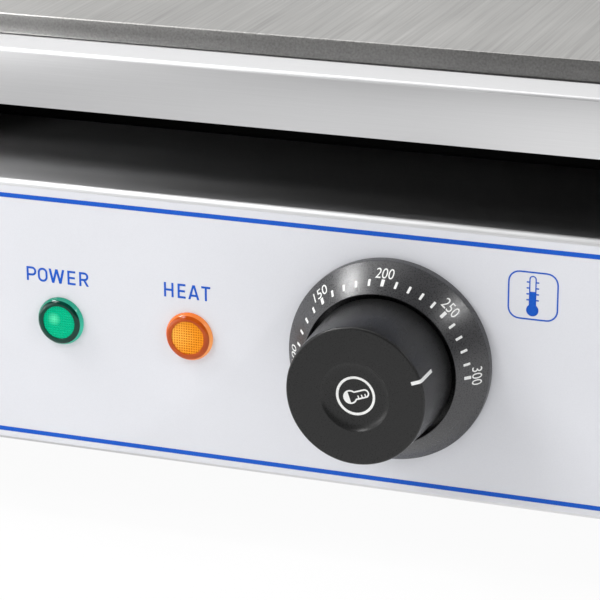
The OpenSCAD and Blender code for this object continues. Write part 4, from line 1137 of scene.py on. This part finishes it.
@dataclass
class PilotLamp:
    """A round lens cap snapped into the panel, with a waffle face in its middle."""

    name: str
    x: float
    kind: LampKind
    z: float = 82.4
    lift: float = 0.25
    flange_r: float = 9.1
    dome_r: float = 8.1
    face_r: float = 6.3
    height: float = 2.4
    face_drop: float = 0.3
    stem_r: float = 5.9
    stem_l: float = 14.0
    stem_wall: float = 1.3
    flange_t: float = 0.4
    shoulder_r: float = 2.2
    face_t: float = 0.6
    face_lap: float = 0.25
    cells: int = 14
    ridge_w: float = 0.2
    pit: float = 0.25
    waffle_t: float = 0.2
    # The wall's painted glow, standing for studio light that comes through the lens, is brightest on the
    # right, this far below its middle
    wall_light_drop: float = 2.0
    wall_reach: float = 15.0

    def __post_init__(self) -> None:
        """Works out the lamp's foot on the panel."""
        self.centre = at(self.x, -self.lift, self.z)

    def build_lens(self) -> None:
        """Turns the cap: a leaning wall off the panel, a round shoulder and a hollow stem."""
        seat = self.height - self.face_drop - self.face_t
        corners = (
            (self.face_r, seat),
            (self.face_r, self.height),
            (self.dome_r, self.height),
            (self.flange_r, self.flange_t),
            (self.flange_r, 0),
            (self.stem_r, 0),
            (self.stem_r, -self.stem_l),
            (self.stem_r - self.stem_wall, -self.stem_l),
            (self.stem_r - self.stem_wall, seat),
            (self.face_r, seat),
        )
        profile = rounded(corners, [0.15, self.shoulder_r, 0.3, 0.1, 0, 0.2, 0.2, 0], 7)
        colour = self.kind.value
        piece = turned(profile, self.centre, FRONT, 72)
        # The whole cap takes the edge finish, darkened as painted shade; its outer wall then gets a painted
        # glow
        settle(piece, f"{self.name}_lens", "case", colour.slot, colour.edge, [f"{self.name}_lamp_lens"])
        # The outer wall gets a painted glow for light through the lens, brightest on its right below the
        # middle
        spot = Vector((self.flange_r, 0, -self.wall_light_drop))
        wall = self.lit("wall", colour.wall, spot, self.wall_reach, LENS)
        dress_part(piece, wall, lambda middle, normal: self.off_axis(middle) > self.dome_r + 0.3)

    def lit(
        self,
        part: str,
        colours: tuple[str, str, str],
        spot: Vector,
        reach_mm: float,
        sockets: tuple[tuple[str, object], ...],
    ) -> LitFace:
        """Makes the finish of a part with a painted glow for light that shines through it.

        Args:
            part: The part's name.
            colours: Its dark and light colours, and the colour of its painted glow.
            spot: Where its painted glow is brightest, from the lamp's foot, in millimetres.
            reach_mm: How far the painted glow spreads.
            sockets: Constants of its shader.

        Returns:
            The finish.
        """
        dark, light, hot = colours
        return LitFace(
            f"lamp_{part}_{self.name}",
            dark,
            light,
            roughness=0.2,
            grain_mm=2.0,
            sockets=sockets,
            hot=hot,
            spot=tuple(self.centre + spot * MM),
            reach_mm=reach_mm,
        )

    def off_axis(self, place: Vector) -> float:
        """Gives a place's distance from the lamp's axis, in millimetres."""
        return (place - self.centre).xz.length / MM

    def build_face(self) -> None:
        """Sets the waffle face, a grid of small prisms, into the lens."""
        reach = self.face_r + self.face_lap
        level = self.height - self.face_drop
        bpy.ops.object.select_all(action="DESELECT")
        bpy.ops.mesh.primitive_grid_add(
            x_subdivisions=self.cells,
            y_subdivisions=self.cells,
            size=2 * reach * MM,
            location=self.centre + FRONT * level * MM,
            rotation=(pi / 2, 0, 0),
        )
        face = bpy.context.object
        bpy.ops.object.transform_apply()
        drop_faces(face, lambda c: self.off_axis(c) > reach)
        with editing(face):
            bpy.ops.mesh.inset(thickness=self.ridge_w * MM, depth=-self.pit * MM, use_individual=True)
        thicken(face, self.waffle_t, offset=-1)
        colour = self.kind.value
        # The ridges and pits get a glow painted on, brightest off the face's middle
        spot = Vector((colour.bulb[0], -level, colour.bulb[1]))
        ridge = self.lit("ridge", colour.ridge, spot, colour.reach_mm, MATT)
        settle(face, f"{self.name}_waffle", "case", colour.slot, ridge)
        floor = (self.centre + FRONT * (level - 0.6 * self.pit) * MM).y
        # The pits are darker than the ridges as painted shade in the waffle's hollows
        pit = self.lit("pit", colour.pit, spot, colour.reach_mm, MATT)
        dress_part(face, pit, lambda middle, normal: middle.y > floor and normal.y < -0.9)

    def build(self) -> None:
        """Builds the lens and its face."""
        self.build_lens()
        self.build_face()


@dataclass
class CookingTop:
    """The lip with its grease trough, the plate behind it and the guard round it."""

    half_w: float = 275.0
    depth: float = 400.0
    lip_z: float = 163.0
    plate_z: float = 184.0
    plate_t: float = 8.0
    guard_z: float = 240.0
    sheet_t: float = 1.5
    rim_d: float = 20.0
    trough_w: float = 30.0
    trough_depth: float = 14.0
    lip_bend_r: float = 1.5
    trough_bend_r: float = 2.0
    weld_flange: float = 16.0
    corner_r: float = 6.0
    guard_bend_r: float = 4.5
    hem_h: float = 10.0
    slope_y: float = 12.0
    slope_d: float = 62.0
    flange_w: float = 12.0
    drain_x: float = -184.0
    drain_d: float = 18.0
    # How far up faces of the lip's bend turn; the rim lies flatter
    bend_turn: tuple[float, float] = (0.05, 0.98)
    cut_edge: float = 0.25
    plate_edge: float = 0.7
    guard_edge: float = 0.6
    bead_r: float = 1.7
    bead_inset: float = 0.5
    bead_start: float = 1.0

    def __post_init__(self) -> None:
        """Works out the plate's front edge and the trough's bottom."""
        self.plate_y = self.rim_d + self.trough_w
        self.trough_z = self.plate_z - self.trough_depth

    def build_trough(self) -> None:
        """Folds the lip, rim and trough, and cuts the drain."""
        t = self.sheet_t / 2
        under = self.plate_z - self.plate_t - t
        corners = (
            (t, self.lip_z),
            (t, self.plate_z - t),
            (self.rim_d - t, self.plate_z - t),
            (self.rim_d - t, self.trough_z - t),
            (self.plate_y + t, self.trough_z - t),
            (self.plate_y + t, under),
            (self.plate_y + self.weld_flange, under),
        )
        radii = [self.lip_bend_r - t] + [self.trough_bend_r - t] * 4
        path = rounded(corners, radii)
        x = self.half_w - self.sheet_t
        sheet = swept([at(-x, p[0], p[1]) for p in path], RIGHT * 2 * x * MM)
        thicken(sheet, self.sheet_t, self.cut_edge)
        spot = at(self.drain_x, self.rim_d + self.trough_w / 2, self.trough_z)
        drill(sheet, spot, UP, self.drain_d / 2, 3 * self.sheet_t, 64)
        settle(sheet, "lip_and_trough", "case", "guard_steel", STAINLESS_SHEET, ["front_trough"])
        inside, edge = at(0, self.sheet_t, 0).y, (self.lip_z + 0.5) * MM
        bend = at(0, self.lip_bend_r, 0).y
        least, most = self.bend_turn
        # The lip's bend takes a lighter copy of the sheet as a painted highlight
        dress_part(sheet, BEND_HIGHLIGHT_SHEET, lambda middle, normal: least < normal.z < most and middle.y < bend)
        # The lip's underside and its inner face are painted black as shade in the gap under the lip
        dress_part(
            sheet,
            GAP_SHADE_BLACK,
            lambda middle, normal: (normal.z < -0.5 and middle.z > edge)
            or (normal.y > 0.5 and abs(middle.y - inside) < MM),
        )

    def build_plate(self) -> None:
        """Cuts the plate, with round rear corners and eased edges."""
        x, back = self.half_w - self.sheet_t, self.depth - self.sheet_t
        front = self.plate_y
        corners = ((0, front), (x, front), (x, back), (-x, back), (-x, front), (0, front))
        outline = rounded(corners, [0, self.corner_r, self.corner_r, 0])[:-1]
        low = self.plate_z - self.plate_t
        piece = plate([at(p[0], p[1], low) for p in outline], UP * self.plate_t * MM)
        soften(piece, self.plate_edge, 3)
        settle(piece, "plate_block", "case", "plate_steel", GROUND_PLATE, ["griddle_plate"])

    def wall_path(self, grow: float) -> list[Vector]:
        """Lists the guard's middle line seen from above, moved outwards by a distance."""
        x = self.half_w - self.sheet_t / 2 + grow
        y = self.depth - self.sheet_t / 2 + grow
        corners = ((-x, 0), (-x, y), (x, y), (x, 0))
        return rounded(corners, [self.guard_bend_r - self.sheet_t / 2 + grow] * 2, 10)

    def build_guard(self) -> None:
        """Bends the guard's walls, folds the hem out along their top and slopes the front ends."""
        walls = []
        for grow, low in ((0, self.lip_z), (self.sheet_t, self.guard_z - self.hem_h)):
            path = [at(p[0], p[1], low) for p in self.wall_path(grow)]
            wall = swept(path, UP * (self.guard_z - low) * MM)
            thicken(wall, self.sheet_t)
            end, over, ahead = self.slope_y + self.slope_d, self.guard_z + 1, -5
            wedge = ((ahead, self.plate_z), (self.slope_y, self.plate_z), (end, over), (ahead, over))
            x = self.half_w + 10
            cut(wall, plate([at(-x, y, z) for y, z in wedge], RIGHT * 2 * x * MM))
            soften(wall, self.guard_edge, 3)
            walls.append(wall)
        low = self.lip_z + self.sheet_t / 2
        inner = self.half_w - self.flange_w
        for side in (-1, 1):
            ends = [at(side * inner, y, low) for y in (self.rim_d, self.depth - self.guard_bend_r)]
            walls.append(swept(ends, RIGHT * side * (self.flange_w - self.sheet_t) * MM))
            thicken(walls[-1], self.sheet_t)
        ends = [at(s * inner, self.depth - self.flange_w, low) for s in (-1, 1)]
        walls.append(swept(ends, -FRONT * (self.flange_w - self.sheet_t) * MM))
        thicken(walls[-1], self.sheet_t)
        piece = joined(walls)
        settle(piece, "guard_walls", "case", "guard_steel", GUARD_SHEET, ["splash_guard"])

    def build_bead(self) -> None:
        """Runs the weld bead along the plate's three edges against the guard."""
        x = self.half_w - self.sheet_t - self.bead_inset
        y = self.depth - self.sheet_t - self.bead_inset
        start = self.plate_y + self.bead_start
        path = rounded(((-x, start), (-x, y), (x, y), (x, start)), [self.corner_r] * 2)
        piece = chain([at(p[0], p[1], self.plate_z) for p in path])
        pick(piece)
        bpy.ops.object.convert(target="CURVE")
        curve = bpy.context.object
        curve.data.bevel_depth = self.bead_r * MM
        curve.data.bevel_resolution = 3
        curve.data.use_fill_caps = True
        bpy.ops.object.convert(target="MESH")
        settle(bpy.context.object, "plate_bead", "case", "plate_steel", WELD_BEAD)

    def build(self) -> None:
        """Builds the top from front to back."""
        self.build_trough()
        self.build_plate()
        self.build_guard()
        self.build_bead()


@dataclass
class GreaseDrawer:
    """The pressed pan and its front, which slide out under the lip."""

    x: float = -184.0
    low: float = 135.4
    top: float = 158.0
    front_top: float = 161.0
    front_w: float = 148.0
    pan_w: float = 142.0
    pan_y: float = 2.7
    pan_back: float = 81.0
    sheet_t: float = 1.2
    corner_r: float = 4.0
    pan_bend: float = 1.6
    cut_edge: float = 0.2
    front_r: float = 2.5
    front_edge: float = 0.4

    def build_pan(self) -> None:
        """Draws the pan from one sheet, with round corners."""
        depth = self.pan_back - self.pan_y
        outline = box_outline(self.pan_w, depth, self.corner_r)
        middle = self.pan_y + depth / 2
        points = [at(self.x + p[0], middle + p[1], self.low) for p in outline]
        piece = plate(points)
        with editing(piece):
            push(UP * (self.top - self.low) * MM)
            bpy.ops.mesh.delete(type="ONLY_FACE")
            tidy_shell()
        soften(piece, self.pan_bend, 4)
        thicken(piece, self.sheet_t, self.cut_edge, -1)
        settle(piece, "drawer_tray", "drawer", "drawer_steel", STAINLESS_SHEET, ["drawer_pan"])

    def build_front(self) -> None:
        """Cuts the front plate, with round corners and a softened rim."""
        height = self.front_top - self.low
        outline = box_outline(self.front_w, height, self.front_r)
        middle = self.low + height / 2
        points = [at(self.x + p[0], self.pan_y, middle + p[1]) for p in outline]
        piece = plate(points, FRONT * self.sheet_t * MM)
        soften(piece, self.front_edge, 3)
        settle(piece, "drawer_face", "drawer", "drawer_steel", STAINLESS_SHEET, ["drawer_front"])

    def build(self) -> None:
        """Builds the pan and the front."""
        self.build_pan()
        self.build_front()


@dataclass
class LevellingFoot:
    """A moulded rubber pad round the end of its stud."""

    corner: str
    x: float
    y: float
    pad_r: float = 20.0
    top: float = 27.7
    grooves: tuple[float, float] = (3.2, 5.6)
    groove_w: float = 1.3
    groove_d: float = 0.8
    groove_flank: float = 0.4
    tread_h: float = 8.4
    waist_h: float = 11.0
    bore_r: float = 4.2
    bore_z: float = 7.0

    def build(self) -> None:
        """Turns the pad with soft edges, a waist and two grip grooves."""
        r, waist, neck = self.pad_r, 0.8 * self.pad_r, 0.72 * self.pad_r
        floor, flank = r - self.groove_d, self.groove_flank
        corners = [(0, 0), (r - 1.2, 0), (r, 1.5)]
        for low in self.grooves:
            high = low + self.groove_w
            corners += [(r, low), (floor, low + flank), (floor, high - flank), (r, high)]
        corners += [
            (r, self.tread_h),
            (waist, self.waist_h),
            (neck, self.top),
            (self.bore_r, self.top),
            (self.bore_r, self.bore_z),
            (0, self.bore_z),
        ]
        radii = [0.8, 0.8] + [0.25] * 8 + [1.2, 2.0, 1.5, 0.3, 0.2]
        profile = rounded(corners, radii, 4)
        piece = turned(profile, at(self.x, self.y, 0), UP, 72)
        name, node = f"foot_rubber_{self.corner}", f"foot_pad_{self.corner}"
        settle(piece, name, f"foot_{self.corner}", "rubber", FOOT_RUBBER, [node])


@dataclass
class Studio:
    """The camera at the photograph's angle, a white floor and soft lamps."""

    focal_px: float = 2663.87
    image_px: float = 600.0
    sensor_mm: float = 36.0
    yaw: float = 19.762
    pitch: float = 19.225
    roll: float = -0.204
    eye: tuple[float, float, float] = (367.83, -840.61, 412.53)
    # Levels of light: on matt surfaces, then in mirrors low and high in front, on the left and behind
    ambient: float = 0.5
    haze: float = 0.06
    room: float = 0.05
    card: float = 2.4
    rear: float = 1.12
    # Where these meet, as parts of a direction along X, Z and Y
    card_edge: tuple[float, float] = (-0.38, -0.62)
    room_edge: tuple[float, float] = (0.25, 0.4)
    rear_edge: tuple[float, float] = (-0.5, 0.3)
    # The floor in mirrors: its levels, and where it reaches them and the card, in metres along X
    floor_levels: tuple[float, float] = (0.3, 1.26)
    floor_edge: tuple[float, float] = (-0.5, 0.3)
    floor_card_edge: tuple[float, float] = (-0.5, -0.8)
    # Share of plain white on the floor; the rest keeps the object's shadow
    floor_white: float = 0.95

    def build_camera(self) -> None:
        """Stands the camera where the photograph was taken from."""
        yaw, pitch, roll = radians(self.yaw), radians(self.pitch), radians(self.roll)
        right = Vector((cos(yaw), sin(yaw), 0))
        ahead = Vector((-sin(yaw) * cos(pitch), cos(yaw) * cos(pitch), -sin(pitch)))
        up = right.cross(ahead)
        side = right * cos(roll) + up * sin(roll)
        top = up * cos(roll) - right * sin(roll)
        bpy.ops.object.camera_add()
        camera = bpy.context.object
        turn = Matrix((side, top, -ahead)).transposed().to_4x4()
        camera.matrix_world = Matrix.Translation(at(*self.eye)) @ turn
        camera.data.sensor_width = self.sensor_mm
        camera.data.lens = self.focal_px / self.image_px * self.sensor_mm
        bpy.context.scene.camera = camera

    def seen_ray(self, tree: NodeTree) -> object:
        """Adds the test for rays that show the white surround: seen, mirrored or through glass.

        Args:
            tree: The floor's nodes.

        Returns:
            The output that is 1 on such a ray.
        """
        ray = add_node(tree, "ShaderNodeLightPath").outputs
        seen = ray["Is Camera Ray"]
        for kind in ("Is Glossy Ray", "Is Transmission Ray"):
            larger = {"operation": "MAXIMUM"}
            seen = add_node(tree, "ShaderNodeMath", larger, {0: seen, 1: ray[kind]}).outputs[0]
        return seen

    def build_world(self) -> None:
        """Makes the world: white to the eye, and in mirrors a dim room with a bright card on its left."""
        world = bpy.data.worlds.new("studio")
        bpy.context.scene.world = world
        world.use_nodes = True
        tree = world.node_tree
        ray = add_node(tree, "ShaderNodeLightPath").outputs
        heading = add_node(tree, "ShaderNodeTexCoord").outputs["Generated"]
        aim = add_node(tree, "ShaderNodeSeparateXYZ", {}, {0: heading}).outputs
        aside = dict(zip(SPAN, (*self.card_edge, self.haze, self.card)))
        low = add_node(tree, "ShaderNodeMapRange", aside, {"Value": aim["X"]}).outputs["Result"]
        fade = dict(zip(SPAN, self.room_edge))
        rise = add_node(tree, "ShaderNodeMapRange", fade, {"Value": aim["Z"]}).outputs["Result"]
        front = add_node(tree, "ShaderNodeMix", {"B": self.room}, {"Factor": rise, "A": low}).outputs[0]
        turn = dict(zip(SPAN, self.rear_edge))
        behind = add_node(tree, "ShaderNodeMapRange", turn, {"Value": aim["Y"]}).outputs["Result"]
        level = add_node(tree, "ShaderNodeMix", {"B": self.rear}, {"Factor": behind, "A": front}).outputs[0]
        for kind, strength in (("Is Diffuse Ray", self.ambient), ("Is Camera Ray", 1.0)):
            level = add_node(
                tree, "ShaderNodeMix", {"B": strength}, {"Factor": ray[kind], "A": level}
            ).outputs[0]
        tree.links.new(level, tree.nodes["Background"].inputs["Strength"])
        tree.nodes["Background"].inputs["Color"].default_value = (1, 1, 1, 1)

    def build_floor(self) -> None:
        """Lays the floor: white to the eye with the object's shadow, and darker on the left in mirrors."""
        bpy.ops.object.select_all(action="DESELECT")
        bpy.ops.mesh.primitive_plane_add(size=8)
        floor = bpy.context.object
        floor.name = "studio_floor"
        paint = bpy.data.materials.new("floor_white_matt")
        paint.use_nodes = True
        tree = paint.node_tree
        tree.nodes.remove(tree.nodes["Principled BSDF"])
        matt = add_node(tree, "ShaderNodeBsdfDiffuse", {"Color": linear("#f2f2f2")})
        white = add_node(tree, "ShaderNodeEmission", {"Color": (1, 1, 1, 1)})
        ray = add_node(tree, "ShaderNodeLightPath").outputs
        place = add_node(tree, "ShaderNodeTexCoord").outputs["Object"]
        across = add_node(tree, "ShaderNodeSeparateXYZ", {}, {0: place}).outputs["X"]
        fall = dict(zip(SPAN, (*self.floor_edge, *self.floor_levels)))
        near = add_node(tree, "ShaderNodeMapRange", fall, {"Value": across}).outputs["Result"]
        aside = dict(zip(SPAN, (*self.floor_card_edge, 0.0, self.card)))
        far = add_node(tree, "ShaderNodeMapRange", aside, {"Value": across}).outputs["Result"]
        mirrored = add_node(tree, "ShaderNodeMath", {"operation": "ADD"}, {0: near, 1: far}).outputs[0]
        level = add_node(tree, "ShaderNodeMix", {"B": 1.0}, {"Factor": ray["Is Camera Ray"], "A": mirrored})
        tree.links.new(level.outputs[0], white.inputs["Strength"])
        most = {"To Max": self.floor_white}
        share = add_node(tree, "ShaderNodeMapRange", most, {"Value": self.seen_ray(tree)})
        both = add_node(
            tree,
            "ShaderNodeMixShader",
            {},
            {0: share.outputs["Result"], 1: matt.outputs[0], 2: white.outputs[0]},
        )
        tree.links.new(both.outputs[0], tree.nodes["Material Output"].inputs["Surface"])
        floor.data.materials.append(paint)

    def build_lamps(self) -> None:
        """Hangs the soft boxes, aimed at the panel: four on the left, one on the right and one above.

        Their places are in millimetres, their sizes in metres and their powers in watts.
        """
        target = at(80, 60, 110)
        for name, place, size, power in (
            ("key_box", (-1428, -1456, 1866), 0.72, 18.0),
            ("side_box", (-1690, -1045, 253), 0.28, 1.7),
            ("spark_box", (-1050, -1490, 980), 0.17, 1.2),
            ("left_box", (-970, -240, 1138), 0.27, 10.0),
            ("right_box", (1355, -501, 1079), 0.12, 5.0),
            ("top_box", (-530, 155, 1915), 1.3, 8.0),
        ):
            bpy.ops.object.light_add(type="AREA", location=at(*place))
            lamp = bpy.context.object
            lamp.name = name
            lamp.data.size = size
            lamp.data.energy = power
            lamp.rotation_euler = (target - lamp.location).to_track_quat("-Z", "Y").to_euler()

    def build(self) -> None:
        """Sets up the whole studio."""
        scene = bpy.context.scene
        scene.view_settings.view_transform = "Standard"
        self.build_camera()
        self.build_world()
        self.build_floor()
        self.build_lamps()


# Nodes that keep their own shape, by the finish that they get
KEPT_NODES: dict[Finish, tuple[str, ...]] = {
    STAINLESS_SHEET: ("left_side", "right_side", "back_panel", "drain_spout", "drawer_runners"),
    GALVANISED: ("base_pan", "heat_shield", "clamp_bars"),
    SATIN_FILM: ("panel_film",),
    OXIDE_TUBE: ("left_element", "right_element"),
    STEATITE: ("element_beads",),
    ZINC_PLATE: (
        "plate_studs", "clamp_nuts", "shield_nuts", "thermostat_screws", "knob_clip", "lamp_clips",
        "limiter_nut", "terminal_screws", "drawer_screws", "foot_stud_fl", "foot_stud_fr",
        "foot_stud_bl", "foot_stud_br", "foot_nuts", "case_screws", "top_fasteners",
        "thermostat_spindle",
    ),
    FIBRE_BOARD: ("insulation_board",),
    CREAM_THERMOSET: ("thermostat_body", "terminal_block"),
    COPPER: ("thermostat_bulb", "limiter_bulb"),
    BLACK_NYLON: ("lamp_sockets", "limiter_body", "gland_body", "gland_nut", "gland_locknut"),
    LAMP_GLASS: ("lamp_bulbs",),
    RED_NYLON: ("limiter_button",),
    FOOT_RUBBER: ("gland_seal",),
    NICKEL_BRASS: ("bonding_stud", "bonding_nuts"),
    WIRE_SLEEVE: ("wiring",),
    CHROME: ("drawer_handle",),
}


def dress_kept_nodes() -> None:
    """Gives the nodes that keep their own shape their finishes."""
    for finish, names in KEPT_NODES.items():
        for name in names:
            dress(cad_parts[name], finish)
            LOG.info("%s: kept in %s", name, finish.name)


def main() -> None:
    """Builds the sub-assemblies in order, then the studio."""
    logging.basicConfig(level=logging.INFO, format="%(name)s: %(message)s")
    dress_kept_nodes()
    ControlPanel().build()
    ThermostatDial().build()
    PilotLamp("power", -27.6, LampKind.GREEN).build()
    PilotLamp("heat", 23.4, LampKind.AMBER).build()
    CookingTop().build()
    GreaseDrawer().build()
    for corner, x, y in (("fl", -233, 42), ("fr", 233, 42), ("bl", -233, 358), ("br", 233, 358)):
        LevellingFoot(corner, x, y).build()
    Studio().build()


if __name__ == "__main__":
    main()
